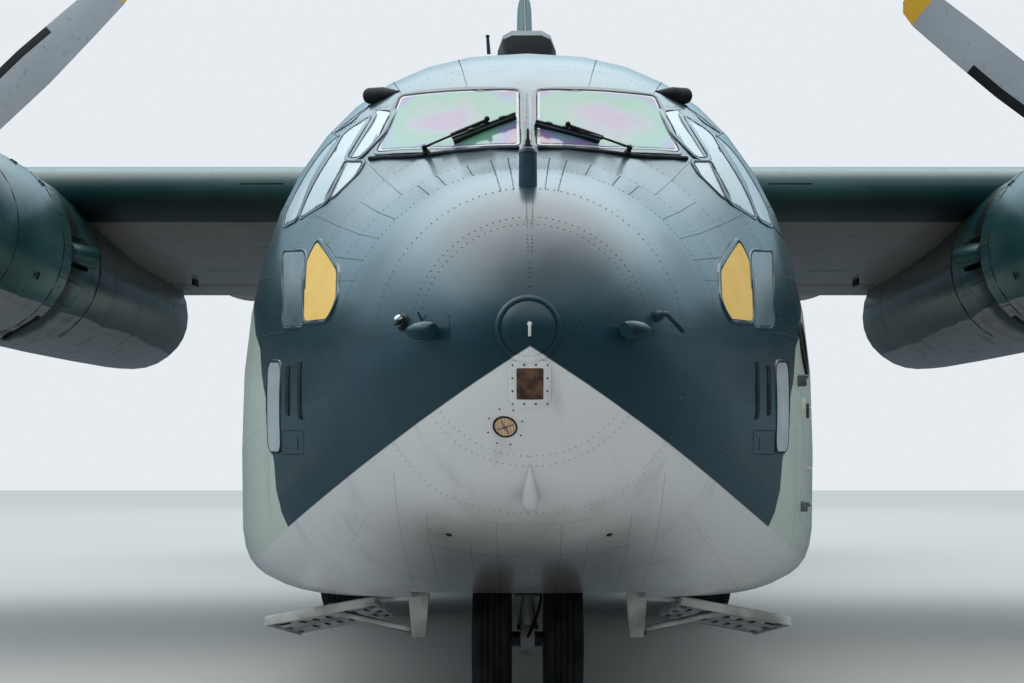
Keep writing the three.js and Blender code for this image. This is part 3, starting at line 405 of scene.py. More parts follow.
panels, given, result = new_group(
    "panels",
    {"Along": 0.0, "Across": 0.0, "Length": 0.5, "Height": 0.4, "Pitch": 0.03},
    ["Seam", "Rivet", "Tone"],
)
tones = []
seams = []
rivets = []
for here, size, other in (("Along", "Length", "Across"), ("Across", "Height", "Along")):
    tones.append(calc("FLOOR", given[here] / given[size]))
    near = calc("PINGPONG", given[here], given[size] * 0.5)
    seams.append(step(near, SEAM_HALF * 2, SEAM_HALF))
    spot = calc("PINGPONG", given[other], given["Pitch"] * 0.5)
    rivets.append(step(distance(near - RIVET_SETBACK, spot), RIVET_RADIUS, RIVET_RADIUS * 0.3))
cell = put(panels, "CombineXYZ", enumerate(tones))
feed(larger(*seams), result["Seam"])
feed(larger(*rivets), result["Rivet"])
feed(put(panels, "TexWhiteNoise", {"Vector": cell}, "Value"), result["Tone"])
print("panels has", len(panels.nodes), "nodes")

# %% [markdown]
# The other three groups are built from noise. Each answers at a place, which the material
# hands in as the object's own coordinates, so the pattern stays on the skin when it moves.

# %% Weather, dents and chips
STREAK_STRETCH = (7, 7, 0.55)
weather, given, result = new_group("weather", {"Place": None}, ["Cloud", "Streak", "Grain"])
stretched = put(weather, "Mapping", {"Vector": given["Place"], "Scale": STREAK_STRETCH})
feed(noise(given["Place"], 0.9, 6), result["Cloud"])
feed(noise(stretched, 1.0, 5), result["Streak"])
feed(noise(given["Place"], 55, 3), result["Grain"])

dents, given, result = new_group("dents", {"Place": None, "Depth": 0.002}, ["Height"])
wavy = noise(given["Place"], 2.6, 1) + noise(given["Place"], 11, 2) * 0.16
feed(wavy * given["Depth"], result["Height"])

chips, given, result = new_group("chips", {"Place": None, "Near": 0.0, "Amount": 0.5}, ["Bare"])
flakes = noise(given["Place"], 34, 4)
feed(step(flakes - (0.78 - given["Near"] * given["Amount"]), 0, 0.03), result["Bare"])
print("weather, dents and chips are built")

# %% [markdown]
# ## The paint
#
# The aeroplane wears one worn coat in several colours: dark slate on the nose and roof, pale
# cream on the sides, light grey underneath and teal green on wings and engines.
# One function builds each painted finish. It takes the colour zones and the way the skin is
# divided into sheets, and adds the same seams, rivets, dirt, streaks and dents to all of them.

# %% Painted metal
SLATE = srgb("12343f")
CREAM = srgb("cdd6c9")
BELLY = srgb("dcdcdc")
# Brown for the painted shade low under the nose
BELLY_SHADE = srgb("5a5148")
TEAL = srgb("0c3b3c")
TEAL_FADED = srgb("1f4f4d")
UNDERSIDE = srgb("77706b")
NACELLE_GREY = srgb("87868a")
GRIME = srgb("25241f")
MOSS = srgb("39461f")
# Soot on the nacelles behind the exhausts, and painted shade on the wings' lower front edge
SOOT_AND_SHADE = srgb("0f1413")
RECESS_BLACK = srgb("0c0d0d")
BARE_METAL = srgb("9aa0a3")
FADED = srgb("8296a0")
FADE_SHARE = 0.06
SEAM_DEPTH = 0.0002
GRAIN_DEPTH = 0.00008
DENT_DEPTH = 0.006


def new_material(name, **settings):
    """A material and its node tree; settings are plain values of the Principled shader."""
    material = bpy.data.materials.new(name)
    material.use_nodes = True
    tree = material.node_tree
    shader = tree.nodes["Principled BSDF"]
    for label, value in settings.items():
        shader.inputs[label.replace("_", " ")].default_value = value
    return material, tree, shader.inputs


def object_place(tree):
    """The object coordinates of a place, whole and as x, y and z."""
    place = put(tree, "TexCoord", output="Object")
    x = put(tree, "SeparateXYZ", {0: place})
    return place, [Value(socket) for socket in x.socket.node.outputs]


def feed_relief(tree, height, inputs, strength=1.0):
    """Lets a height in metres bend the surface's normal."""
    feed(put(tree, "Bump", {"Height": height, "Strength": strength, "Distance": 1.0}), inputs["Normal"])


def single_seam(x, station, z, axis, value, low, high, top):
    """One seam at a place across or along the hull, between two limits of the other direction."""
    here, other = (x, station) if axis == "across" else (station, x)
    drawn = step(abs(here - value), SEAM_HALF * 2.4, SEAM_HALF)
    for limit, inner in ((low, 0.002), (high, -0.002)):
        drawn *= step(other, limit, limit + inner)
    return drawn * step(z, top, top - 0.01)


def painted(
    name, zones, plan, sheet=(0.55, 0.42, 0.032), rivet_depth=0.0006, gloss=0.36, dirt=0.5, soil=0.0,
    coat=0.25, lines=(),
):
    """One weathered paint: zones gives its colour, plan the two directions of its sheets."""
    material, tree, inputs = new_material(name, Coat_Weight=coat, Coat_Roughness=0.2, Coat_IOR=1.75)
    place, (x, y, z) = object_place(tree)
    station = y - NOSE_Y
    marks = use(tree, weather, Place=place)
    along, across = plan(x, station, z)
    length, height, pitch = sheet
    skin = use(tree, panels, Along=along, Across=across, Length=length, Height=height, Pitch=pitch)
    fade = step(marks["Cloud"] + skin["Tone"] * 0.12, 0.35, 0.85)
    colour = mix(fade * FADE_SHARE, zones(x, station, z, marks), FADED)
    seam = skin["Seam"]
    for line in lines:
        seam = larger(seam, single_seam(abs(x), station, z, *line))
    soiled = larger(step(marks["Streak"], 0.52, 0.78) * (dirt * 0.5), seam * dirt)
    soiled = larger(larger(soiled, skin["Rivet"] * (dirt * 0.45)), soil)
    colour = mix(soiled, colour, GRIME)
    bare = use(tree, chips, Place=place, Near=skin["Seam"], Amount=0.16)["Bare"]
    feed(mix(bare * 0.6, colour, BARE_METAL), inputs["Base Color"])
    feed(marks["Cloud"] * 0.2 + (gloss - 0.1) + soiled * 0.3, inputs["Roughness"])
    wave = use(tree, dents, Place=place, Depth=DENT_DEPTH)["Height"]
    relief = skin["Rivet"] * rivet_depth - seam * SEAM_DEPTH + marks["Grain"] * GRAIN_DEPTH
    feed_relief(tree, relief + wave, inputs, 0.8)
    return material


print("Painted metal is ready")

# %% [markdown]
# A plan says which way a skin's sheets run. Round the fuselage and the nacelles it is along
# the body and around it, on the wings along the span and back along the chord. The belly of
# the nose has seams of its own, drawn one by one.

# %% Plans of the skins
NOSE_RINGS = [0.0, 0.5, 0.93, 1.3, 1.7, 2.05, 2.55, 3.05, 3.55, 4.0]
RING_PITCH = 0.45
HULL_AXIS_Z = 1.9
HULL_RADIUS = 1.9
NACELLE_RADIUS = 0.74
BELLY_SEAMS = [
    # direction, place, from, to, highest Z
    ("across", 0.43, 0.69, 2.0, 1.22), ("across", 0.56, 0.60, 2.2, 1.36), ("across", 0.25, 0.78, 1.5, 1.2),
    ("across", 0.135, 0.61, 2.0, 1.15), ("along", 0.605, 0.0, 0.25, 1.2), ("along", 0.79, 0.0, 0.43, 1.2),
    ("along", 1.05, 0.0, 0.43, 1.2), ("along", 1.5, 0.0, 0.56, 1.2), ("along", 2.2, 0.0, 2.0, 1.3),
]


def hull_plan(x, station, z):
    return station, calc("ARCTAN2", z - HULL_AXIS_Z, abs(x)) * HULL_RADIUS


def nose_plan(x, station, z):
    """Rings and lines over the upper nose, and one even sheet below."""
    rings = [(ring, RING_PITCH * i) for i, ring in enumerate(NOSE_RINGS)]
    upper = step(z, 1.36, 1.37)
    lift = (1.0 - upper) * 0.2
    return upper * drawn_line(station, rings) + lift, upper * hull_plan(x, station, z)[1] + lift


def nacelle_plan(x, station, z):
    return station + 0.02, calc("ARCTAN2", z - ENGINE.z, abs(x) - ENGINE.x) * NACELLE_RADIUS


def wing_plan(x, station, z):
    return abs(x), station


def upright_plan(x, station, z):
    return z, station


print("Plans are ready")

# %% [markdown]
# Now the colour zones. On the nose three lines meet: a chevron that rises to the middle, a
# curve that sweeps up and back between slate and cream, and the edge of the grey belly.
# Low down near the middle the grey belly darkens towards brown as painted shade.

# %% Fuselage colours
CHEVRON_TOP = 1.812
CHEVRON_SLOPE = 0.598
SWEEP = [
    # station, height of the edge between slate and cream
    (1.6, 0.35), (1.78, 1.096), (1.81, 1.225), (1.86, 1.421), (2.04, 1.75), (2.32, 2.042), (3.1, 2.42),
    (3.5, 2.5),
]
BELLY_EDGE = [(1.6, 1.12), (1.78, 1.096), (2.22, 0.959), (3.0, 0.87), (3.6, 0.86)]
TAIL_START = 13.3
TAIL_RISE = 0.2
BELLY_RISE = 0.37
EDGE_BLUR = 0.004


def above(height, line, marks, wobble=0.012):
    """1 above a sprayed line and 0 below it, with a slightly uneven edge."""
    return step(height - line + (marks["Cloud"] - 0.5) * wobble, -EDGE_BLUR, EDGE_BLUR)


def fuselage_zones(x, station, z, marks):
    behind = larger(station - TAIL_START, 0.0)
    chevron = CHEVRON_TOP - abs(x) * CHEVRON_SLOPE
    sweep = drawn_line(station, SWEEP) + behind * TAIL_RISE
    belly = drawn_line(station, BELLY_EDGE) + behind * BELLY_RISE
    over_sweep = above(z, sweep, marks)
    slate = over_sweep * above(z, chevron, marks)
    cream = (1.0 - over_sweep) * above(z, belly, marks, 0.05)
    # Low down near the middle the belly is darkened as painted shade
    belly_shade_mask = step(z + marks["Cloud"] * 0.5, 1.64, 1.16) * step(abs(x), 0.95, 0.3)
    return mix(slate, mix(cream, mix(belly_shade_mask, BELLY, BELLY_SHADE), CREAM), SLATE)


print("The chevron rises to Z", CHEVRON_TOP)

# %% [markdown]
# The wings are teal above and brownish grey below. The border is the chord plane, which
# rises with the wing's dihedral, so its zone function follows the CAD wing's sloping lines.
# Below that plane the teal front edge darkens towards black as painted shade.

# %% Wing, engine and tail colours
UNDERSIDE_START = 0.3
GREY_BELOW = 2.76
WING_BREAK = 4.9
WING_LEAD = 6.5
SWEEPBACK = 0.0575
DIHEDRAL = 0.0788
CHORD_Z = 3.828
CHORD_SLOPE = 0.0787
TAIL_UNDERSIDE = (4.955, 4.945)


def wing_zones(x, station, z, marks):
    outboard = larger(abs(x) - WING_BREAK, 0.0)
    behind = station - (outboard * SWEEPBACK + WING_LEAD)
    rise = z - (outboard * DIHEDRAL + CHORD_Z - behind * CHORD_SLOPE)
    below = step(rise, 0.0, -0.004) * above(behind, UNDERSIDE_START, marks, 0.03)
    top = mix(step(marks["Cloud"], 0.35, 0.7), TEAL, TEAL_FADED)
    # The teal front edge darkens towards black below the chord plane: painted shade
    lower_edge_shade = step(rise, 0.0, -0.16)
    return mix(below, mix(lower_edge_shade * 0.85, top, SOOT_AND_SHADE), UNDERSIDE)


def engine_zones(x, station, z, marks):
    """Teal over grey; soot blackens the nacelle behind the exhausts and the recess they lie in."""
    radius = distance(abs(x) - ENGINE.x, z - ENGINE.z)
    recess = step(radius, 0.735, 0.715) * step(station, 5.98, 6.0) * step(station, 6.62, 6.6)
    behind = step(station + marks["Streak"] * 0.5, 6.5, 7.2)
    soot = behind * step(abs(x), 5.6, 5.5) * 0.9
    top = mix(step(marks["Cloud"], 0.38, 0.72), TEAL, TEAL_FADED)
    mossy = step(station, 7.9, 9.2) * step(marks["Streak"], 0.4, 0.6)
    top = mix(mossy * 0.85, mix(soot, top, SOOT_AND_SHADE), MOSS)
    colour = mix(above(z, GREY_BELOW, marks, 0.12), NACELLE_GREY, top)
    return mix(recess, colour, RECESS_BLACK)


def fin_zones(x, station, z, marks):
    return mix(step(marks["Cloud"], 0.38, 0.7), TEAL, TEAL_FADED)


def tail_zones(x, station, z, marks):
    return mix(step(z, *TAIL_UNDERSIDE), fin_zones(x, station, z, marks), UNDERSIDE)


print("Zones follow the wing from X", WING_BREAK, "outwards")

# %% [markdown]
# Every painted skin and fitting picks its zones, its plan and the size of its sheets. A sheet
# of nine metres means that the piece has no seams of its own.

# %% Paints
PLAIN = (9, 9, 9)
fuselage_paint = painted("fuselage_paint", fuselage_zones, hull_plan, rivet_depth=0.0009)
nose_paint = painted("nose_paint", fuselage_zones, hull_plan, PLAIN, 0.0, gloss=0.33, coat=0.7)
front_paint = painted(
    "front_paint", fuselage_zones, nose_plan, (0.45, 0.62, 9), 0.0, gloss=0.34, coat=0.7, dirt=0.35,
    lines=BELLY_SEAMS,
)
rivet_paint = painted("rivet_paint", fuselage_zones, hull_plan, PLAIN, 0.0, soil=0.45)
trim_paint = painted("trim_paint", fuselage_zones, hull_plan, PLAIN, 0.0, gloss=0.3, coat=0.6)
wing_paint = painted("wing_paint", wing_zones, wing_plan, (0.9, 0.6, 0.035), coat=0.4)
engine_paint = painted(
    "engine_paint", engine_zones, nacelle_plan, (0.62, 0.58, 0.03), gloss=0.34, dirt=0.7, coat=0.4
)
tail_paint = painted("tail_paint", tail_zones, wing_plan, (0.8, 0.5, 0.035), gloss=0.42)
fin_paint = painted("fin_paint", fin_zones, upright_plan, (0.8, 0.5, 0.035), gloss=0.42)
print(len(bpy.data.materials), "materials so far")

# %% [markdown]
# ## Smaller finishes
#
# Rubber, glass, bare and painted metal for the fittings. Each one still varies over its
# surface, because an even colour reads as plastic. simple_finish() mixes two close colours
# by a noise and gives the surface a fine grain.

# %% Simple finishes
GRAIN_SCALE = 180


def simple_finish(name, light, dark, rough, scale=9, grain=0.0002, metal=0.0):
    material, tree, inputs = new_material(name, Metallic=metal)
    place, _ = object_place(tree)
    patches = noise(place, scale, 6)
    feed(mix(step(patches, 0.35, 0.68), srgb(light), srgb(dark)), inputs["Base Color"])
    feed(put(tree, "MapRange", {0: patches, 3: rough[0], 4: rough[1]}), inputs["Roughness"])
    feed_relief(tree, noise(place, GRAIN_SCALE, 3) * grain, inputs)
    return material


FINISHES = [
    # name, light, dark, roughness, patch scale, grain, metallic
    ("black_rubber", "1b1c1e", "0d0e10", (0.55, 0.8), 12, 0.0003, 0),
    ("tyre_rubber", "2a2a2b", "171718", (0.7, 0.92), 7, 0.0006, 0),
    ("black_paint", "17191c", "0b0c0e", (0.3, 0.5), 8, 0.0002, 0),
    ("slate_metal", "2c4150", "1d2c37", (0.22, 0.36), 6, 0.0002, 0),
    ("white_metal", "c9cbc8", "8f8d86", (0.4, 0.62), 5, 0.0003, 0),
    ("grey_metal", "8b9195", "5d6266", (0.35, 0.55), 7, 0.0003, 0.6),
    ("chrome", "d8dadc", "aeb2b6", (0.08, 0.2), 10, 0.0, 1),
    ("steel", "8a8a88", "4f4d49", (0.3, 0.5), 14, 0.0003, 1),
    ("burnt_steel", "6b584a", "2b2523", (0.4, 0.7), 11, 0.0004, 1),
    ("engine_cast", "6d7173", "3d4043", (0.45, 0.65), 16, 0.0004, 0.8),
    ("yellow_blank", "f3c66c", "efbe5c", (0.6, 0.7), 5, 0.0, 0),
    ("bullet_paint", "1c3a3f", "10262d", (0.16, 0.28), 9, 0.0001, 0),
    ("cream_paint", "d8d8cc", "bdbbae", (0.35, 0.5), 6, 0.0002, 0),
    ("brown_glass", "6d5243", "40302a", (0.12, 0.25), 22, 0.0002, 0),
    ("deck_green", "6f7a6a", "4e574b", (0.55, 0.75), 5, 0.0004, 0),
    ("panel_black", "26282a", "141516", (0.5, 0.7), 9, 0.0003, 0),
    ("red_webbing", "8c2f22", "5f1f18", (0.8, 0.95), 22, 0.0010, 0),
    ("wood_deck", "7b7566", "55503f", (0.6, 0.8), 4, 0.0008, 0),
    ("red_lens", "b0281c", "7d1a12", (0.1, 0.2), 9, 0.0002, 0),
    ("green_lens", "1e8a57", "11603a", (0.1, 0.2), 9, 0.0002, 0),
]
finish = {row[0]: simple_finish(*row) for row in FINISHES}
print(len(finish), "simple finishes")

# %% [markdown]
# A propeller blade is grey with a yellow tip, and its root half wears a black rubber boot along
# the leading edge, which sheds ice. The material measures each place from the hub: how far
# out along its blade, and how far across it. Folding the angle every 120 degrees makes the
# three blades alike.

# %% Propeller paint
FIRST_BLADE = {"left": 141.0, "right": 43.5}
BLADE_FOLD = math.radians(60)
BOOT_WIDTH = 0.066
BOOT_REACH = (0.36, 1.66)
BOOT_RISE = 0.003
LEADING_EDGE = [(0.0, 0.06), (0.42, 0.088), (0.9, 0.1436), (1.4, 0.1575), (1.8, 0.144), (2.4, 0.1)]
TIP_START = 2.16
SHANK_END = 0.262
BLADE_COLOURS = {
    "clean": srgb("bcc1c8"), "dull": srgb("8d949d"), "scuff": srgb("5a5f66"), "tip": srgb("e0ae35"),
    "shank": srgb("3d4649"), "boot": srgb("1c1d1f"),
}


def blade_place(x, z):
    """How far out along its blade a place lies, how far across it, and how far from the hub."""
    left = calc("GREATER_THAN", x, 0.0)
    off = x - (left * (2 * ENGINE.x) - ENGINE.x)
    rise = z - ENGINE.z
    turn = math.radians(FIRST_BLADE["left"] - FIRST_BLADE["right"])
    angle = calc("ARCTAN2", rise, off) - (left * turn + math.radians(FIRST_BLADE["right"]))
    folded = calc("WRAP", angle, BLADE_FOLD, -BLADE_FOLD)
    radius = distance(off, rise)
    return radius * calc("COSINE", folded), radius * calc("SINE", folded), radius


propeller_paint, tree, inputs = new_material("propeller_paint", Coat_Weight=0.2, Coat_Roughness=0.3)
place, (x, _, z) = object_place(tree)
along, across, radius = blade_place(x, z)
boot = step(across - (drawn_line(along, LEADING_EDGE) - BOOT_WIDTH), 0.0, 0.002)
for limit, inner in zip(BOOT_REACH, (0.004, -0.004)):
    boot *= step(along, limit, limit + inner)
marks = use(tree, weather, Place=place)
scuffs = step(noise(place, 30, 8), 0.6, 0.72)
colour = mix(marks["Cloud"], BLADE_COLOURS["clean"], BLADE_COLOURS["dull"])
for share, label in (
    (scuffs * 0.4, "scuff"),
    (step(radius, TIP_START, TIP_START + 0.004), "tip"),
    (step(radius, SHANK_END + 0.008, SHANK_END), "shank"),
    (boot, "boot"),
):
    colour = mix(share, colour, BLADE_COLOURS[label])
feed(colour, inputs["Base Color"])
feed(boot * 0.35 + 0.34, inputs["Roughness"])
feed_relief(tree, boot * BOOT_RISE + marks["Grain"] * 0.0002, inputs)
print("The boots end", BOOT_REACH[1], "m from the hub")

# %% [markdown]
# The front panes carry a hidden heating film. Its shimmer in rings from mauve through green
# and violet to pink is painted into the film's colour as a painted sheen. The other panes are
# old acrylic, a little cloudy, and their pale, nearly white colour is a painted reflection of
# the bright sky. All keep a plain Transmission so the inside still shows faintly.

# %% Glass
FILM_CENTRE = (0.40, 3.17)
FILM_REACH = (0.40, 0.25)
# The film's shimmer, painted into its colour as a painted sheen
FILM_SHEEN_COLOURS = [
    (0.2, "a883a6"), (0.45, "939f9f"), (0.62, "6fa586"), (0.82, "70a792"),
    (0.97, "7f8bae"), (1.08, "9274a8"), (1.2, "b37d88"),
]
# The pale colours of the other panes are a painted reflection of the bright sky
PALE_REFLECTION_STOPS = [(0.3, "dfe4e6"), (0.5, "cfd6d9"), (0.7, "e2e4e6")]
GREY_STOPS = [(0.3, "6f7f8a"), (0.5, "87949c"), (0.7, "5b6a74")]


def pane_glass(name, stops, clear, rough, guide):
    """Old glass whose tint runs through colour stops as guide(place, axes) runs upwards."""
    settings = {"Transmission_Weight": clear, "IOR": 1.45, "Coat_Weight": 0.5, "Coat_Roughness": 0.06}
    material, tree, inputs = new_material(name, Metallic=0.0, **settings)
    place, axes = object_place(tree)
    last = stops[-1][0]
    tint = put(tree, "ValToRGB", {0: guide(place, axes) / last})
    elements = tint.socket.node.color_ramp.elements
    elements[0].position, elements[1].position = stops[0][0] / last, 1
    elements[0].color, elements[1].color = srgb(stops[0][1]), srgb(stops[-1][1])
    for position, code in stops[1:-1]:
        elements.new(position / last).color = srgb(code)
    feed(tint, inputs["Base Color"])
    smear = {0: noise(place, 5, 6), 3: rough, 4: rough + 0.12}
    feed(put(tree, "MapRange", smear), inputs["Roughness"])
    return material


def drift(place, axes):
    return noise(place, 2.2, 2)


def painted_sheen_rings(place, axes):
    """Distance from the middle of either windscreen, uneven as the film is."""
    across = (abs(axes[0]) - FILM_CENTRE[0]) / FILM_REACH[0]
    height = (axes[2] - FILM_CENTRE[1]) / FILM_REACH[1]
    return distance(across, height) + (noise(place, 4.5, 1) - 0.5) * 0.9


screen_glass = pane_glass("screen_glass", FILM_SHEEN_COLOURS, 0.15, 0.08, painted_sheen_rings)
side_glass = pane_glass("side_glass", PALE_REFLECTION_STOPS, 0.25, 0.06, drift)
grey_glass = pane_glass("grey_glass", GREY_STOPS, 0.25, 0.1, drift)
lamp_glass, tree, inputs = new_material("lamp_glass", Transmission_Weight=0.5, Roughness=0.05, IOR=1.5)
place, _ = object_place(tree)
flutes = put(tree, "TexWave", {"Vector": place, "Scale": 28, "Distortion": 2}, "Fac")
feed(mix(flutes, srgb("ffe6cb"), srgb("eeb98a")), inputs["Base Color"])
print("Glass is ready")

# %% [markdown]
# ## Smooth skins
#
# The CAD nodes arrive as flat triangles with a stored normal at every corner. Merging their
# corners, dropping the stored normals and shading them smooth, with hard edges only where the
# surface really turns, gives back the curved skin. The merged copy takes the place of its
# node, rides the same body and wears the right finish.

# %% Smooth copies
MERGE_REACH = 0.0002
SLIVER = 0.0003
SKINS = [
    # finish, sharp angle in degrees, nodes
    (nose_paint, 32, ["nose_cap"]),
    (front_paint, 32, ["cockpit_shell", "crew_door"]),
    (fuselage_paint, 32, ["fuselage_shell", "rear_fuselage_shell"]),
    (fuselage_paint, 40, ["troop_door_left", "troop_door_right", "cargo_ramp", "upper_cargo_door"]),
    (fuselage_paint, 45, ["sponson_left", "sponson_right"]),
    (wing_paint, 50, ["wing_centre", "wing_outer_left", "wing_outer_right"]),
    (wing_paint, 50, ["flap_inner_left", "flap_inner_right", "flap_outer_left", "flap_outer_right"]),
    (wing_paint, 50, ["aileron_left", "aileron_right"]),
    (tail_paint, 50, ["tailplane", "elevator_left", "elevator_right"]),
    (fin_paint, 50, ["fin", "rudder"]),
    (engine_paint, 40, ["cowl_left", "cowl_right", "nacelle_left", "nacelle_right"]),
    (engine_paint, 40, ["jet_pod_left", "jet_pod_right"]),
    (finish["black_paint"], 40, ["roof_scoop"]),
    (finish["engine_cast"], 40, ["engine_left", "engine_right"]),
    (propeller_paint, 60, ["propeller_left", "propeller_right"]),
    (finish["white_metal"], 35, ["nose_leg", "nose_fork", "main_leg_left", "main_leg_right"]),
    (finish["white_metal"], 35, ["nose_gear_door_left", "nose_gear_door_right"]),
    (finish["deck_green"], 35, ["flight_deck"]),
    (finish["wood_deck"], 35, ["cargo_floor"]),
    (side_glass, 25, ["cabin_windows_left", "cabin_windows_right"]),
]


def smooth_copy(node, material, angle):
    """A merged copy of a CAD node, shaded smooth except across edges sharper than the angle."""
    source = frame["nodes"][node]
    bm = bmesh.new()
    bm.from_mesh(source.data)
    bmesh.ops.remove_doubles(bm, verts=bm.verts, dist=MERGE_REACH)
    bmesh.ops.dissolve_degenerate(bm, edges=bm.edges, dist=SLIVER)
    for face in bm.faces:
        face.smooth = True
        face.material_index = 0
    mesh = bpy.data.meshes.new(node + "_skin")
    bm.to_mesh(mesh)
    bm.free()
    stored = mesh.attributes.get("custom_normal")
    if stored:
        mesh.attributes.remove(stored)
    mesh.set_sharp_from_angle(angle=math.radians(angle))
    mesh.materials.append(material)
    made = bpy.data.objects.new(node + "_skin", mesh)
    bpy.context.scene.collection.objects.link(made)
    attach(made, source["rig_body"])
    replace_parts(made, node)
    return made


skins = {}
for material, angle, nodes in SKINS:
    for node in nodes:
        skins[node] = smooth_copy(node, material, angle)
print(len(skins), "skins of", len(frame["nodes"]), "nodes; left:", sorted(set(frame["nodes"]) - set(skins)))

# %% [markdown]
# ## Tools for modelling pieces
#
# A fitting is built from a few solids in one scratch mesh and then made into an object that
# rides a body. Every solid comes from a bmesh operator, is placed by a matrix and only then
# joins the rest, so objects stay at the origin and their mesh holds the place.

# %% Making objects
TURNED_MERGE = 0.00005


def coats(names):
    """The named finishes, one for each material slot of a piece."""
    return [finish[name] for name in names.split()]


def new_piece(name, bm, body, materials, angle=35, recalculate=True):
    """Turns a scratch mesh into an object that rides a body."""
    if recalculate:
        bmesh.ops.recalc_face_normals(bm, faces=bm.faces)
    for face in bm.faces:
        face.smooth = True
    mesh = bpy.data.meshes.new(name)
    bm.to_mesh(mesh)
    bm.free()
    mesh.set_sharp_from_angle(angle=math.radians(angle))
    for material in materials if isinstance(materials, (list, tuple)) else [materials]:
        mesh.materials.append(material)
    made = bpy.data.objects.new(name, mesh)
    bpy.context.scene.collection.objects.link(made)
    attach(made, body)
    return made


def place_along(start, end):
    """A matrix that carries the Z axis onto the line from start to end."""
    line = Vector(end) - Vector(start)
    return Matrix.Translation(start) @ line.to_track_quat("Z", "Y").to_matrix().to_4x4()


def frame_at(place, out, up=UP):
    """A matrix whose Z points out and whose Y is as near up as it can be."""
    out = Vector(out).normalized()
    side = Vector(up).cross(out).normalized()
    turned = Matrix((side, out.cross(side), out)).transposed().to_4x4()
    return Matrix.Translation(place) @ turned


def join(bm, part, matrix=None, slot=0):
    """Adds a scratch part to the mesh being built and frees it."""
    if matrix is not None:
        part.transform(matrix)
    for face in part.faces:
        face.material_index = slot
    mesh = bpy.data.meshes.new("scratch")
    part.to_mesh(mesh)
    part.free()
    bm.from_mesh(mesh)
    bpy.data.meshes.remove(mesh)


def round_edges(part, edges, offset, segments=2):
    bmesh.ops.bevel(
        part, geom=edges, offset=offset, segments=segments, affect="EDGES", profile=0.5, material=-1
    )


def add_bar(bm, start, end, radius, tip=None, slot=0, segments=14, bevel=0.0):
    """A round bar or cone from start to end."""
    part = bmesh.new()
    length = (Vector(end) - Vector(start)).length
    tip = radius if tip is None else tip
    bmesh.ops.create_cone(
        part, cap_ends=True, segments=segments, radius1=radius, radius2=tip, depth=length,
        matrix=Matrix.Translation((0, 0, length / 2)),
    )
    if bevel:
        # The edges of the two ends lie level, and those of the wall don't
        rims = [edge for edge in part.edges if abs(edge.verts[0].co.z - edge.verts[1].co.z) < length * 0.01]
        round_edges(part, rims, bevel)
    join(bm, part, place_along(start, end), slot)


def add_box(bm, matrix, size, bevel=0.0, slot=0, segments=2):
    """A box of the given size about the matrix's origin, with rounded edges."""
    part = bmesh.new()
    bmesh.ops.create_cube(part, size=1.0, matrix=Matrix.Diagonal((*size, 1)))
    if bevel:
        round_edges(part, part.edges[:], bevel, segments)
    join(bm, part, matrix, slot)


def add_plate(bm, spot, size, bevel=0.0, slot=0, up=UP):
    """A box on a spot of the skin, which is a place and its outward direction."""
    add_box(bm, frame_at(*spot, up), size, bevel, slot)


def add_ball(bm, matrix, size, slot=0, segments=20):
    part = bmesh.new()
    bmesh.ops.create_uvsphere(part, u_segments=segments, v_segments=segments // 2, radius=1.0)
    join(bm, part, matrix @ Matrix.Diagonal((*size, 1)), slot)


def add_turned(bm, matrix, profile, slot=0, segments=32, closed=False):
    """A turned shape: a profile of (radius, height) points spun about the matrix's Z axis."""
    part = bmesh.new()
    corners = [part.verts.new((radius, 0, height)) for radius, height in profile]
    pairs = list(zip(corners, corners[1:])) + ([(corners[-1], corners[0])] if closed else [])
    edges = [part.edges.new(pair) for pair in pairs]
    bmesh.ops.spin(
        part, geom=corners + edges, axis=(0, 0, 1), cent=(0, 0, 0), angle=math.tau,
        steps=segments, use_merge=True, use_duplicate=False,
    )
    bmesh.ops.remove_doubles(part, verts=part.verts, dist=TURNED_MERGE)
    bmesh.ops.recalc_face_normals(part, faces=part.faces)
    join(bm, part, matrix, slot)


def add_pipe(bm, points, radius, slot=0, resolution=3, bend=8):
    """A tube along points, bent smoothly; made as a curve and turned into mesh."""
    curve = bpy.data.curves.new("pipe", "CURVE")
    curve.dimensions = "3D"
    curve.bevel_depth = radius
    curve.bevel_resolution = resolution
    curve.resolution_u = bend
    curve.use_fill_caps = True
    line = curve.splines.new("NURBS" if len(points) > 2 else "POLY")
    line.points.add(len(points) - 1)
    for point, place in zip(line.points, points):
        point.co = (*place, 1)
    if len(points) > 2:
        line.use_endpoint_u = True
        line.order_u = 3
    holder = bpy.data.objects.new("pipe", curve)
    part = bmesh.new()
    mesh = bpy.data.meshes.new_from_object(holder)
    part.from_mesh(mesh)
    bpy.data.meshes.remove(mesh)
    bpy.data.objects.remove(holder)
    bpy.data.curves.remove(curve)
    join(bm, part, None, slot)


def add_mirrored(bm):
    """Adds the mirror image across the aeroplane's middle of everything built so far."""
    bmesh.ops.mirror(bm, geom=bm.verts[:] + bm.edges[:] + bm.faces[:], axis="X", merge_dist=-1)


print("Modelling tools are ready")

# %% [markdown]
# Most fittings sit on curved skin. A tree of the CAD surfaces answers where a line of sight
# meets the skin and which way the skin faces there, so rims, plates and rivets can be laid on it.

# %% Laying things on the skin
NUDGES = (0.0, 0.0004, -0.0004)


def tree_of(*nodes):
    """A search tree over the surfaces of some CAD nodes."""
    bm = bmesh.new()
    for node in nodes:
        bm.from_mesh(frame["nodes"][node].data)
    tree = BVHTree.FromBMesh(bm)
    bm.free()
    return tree


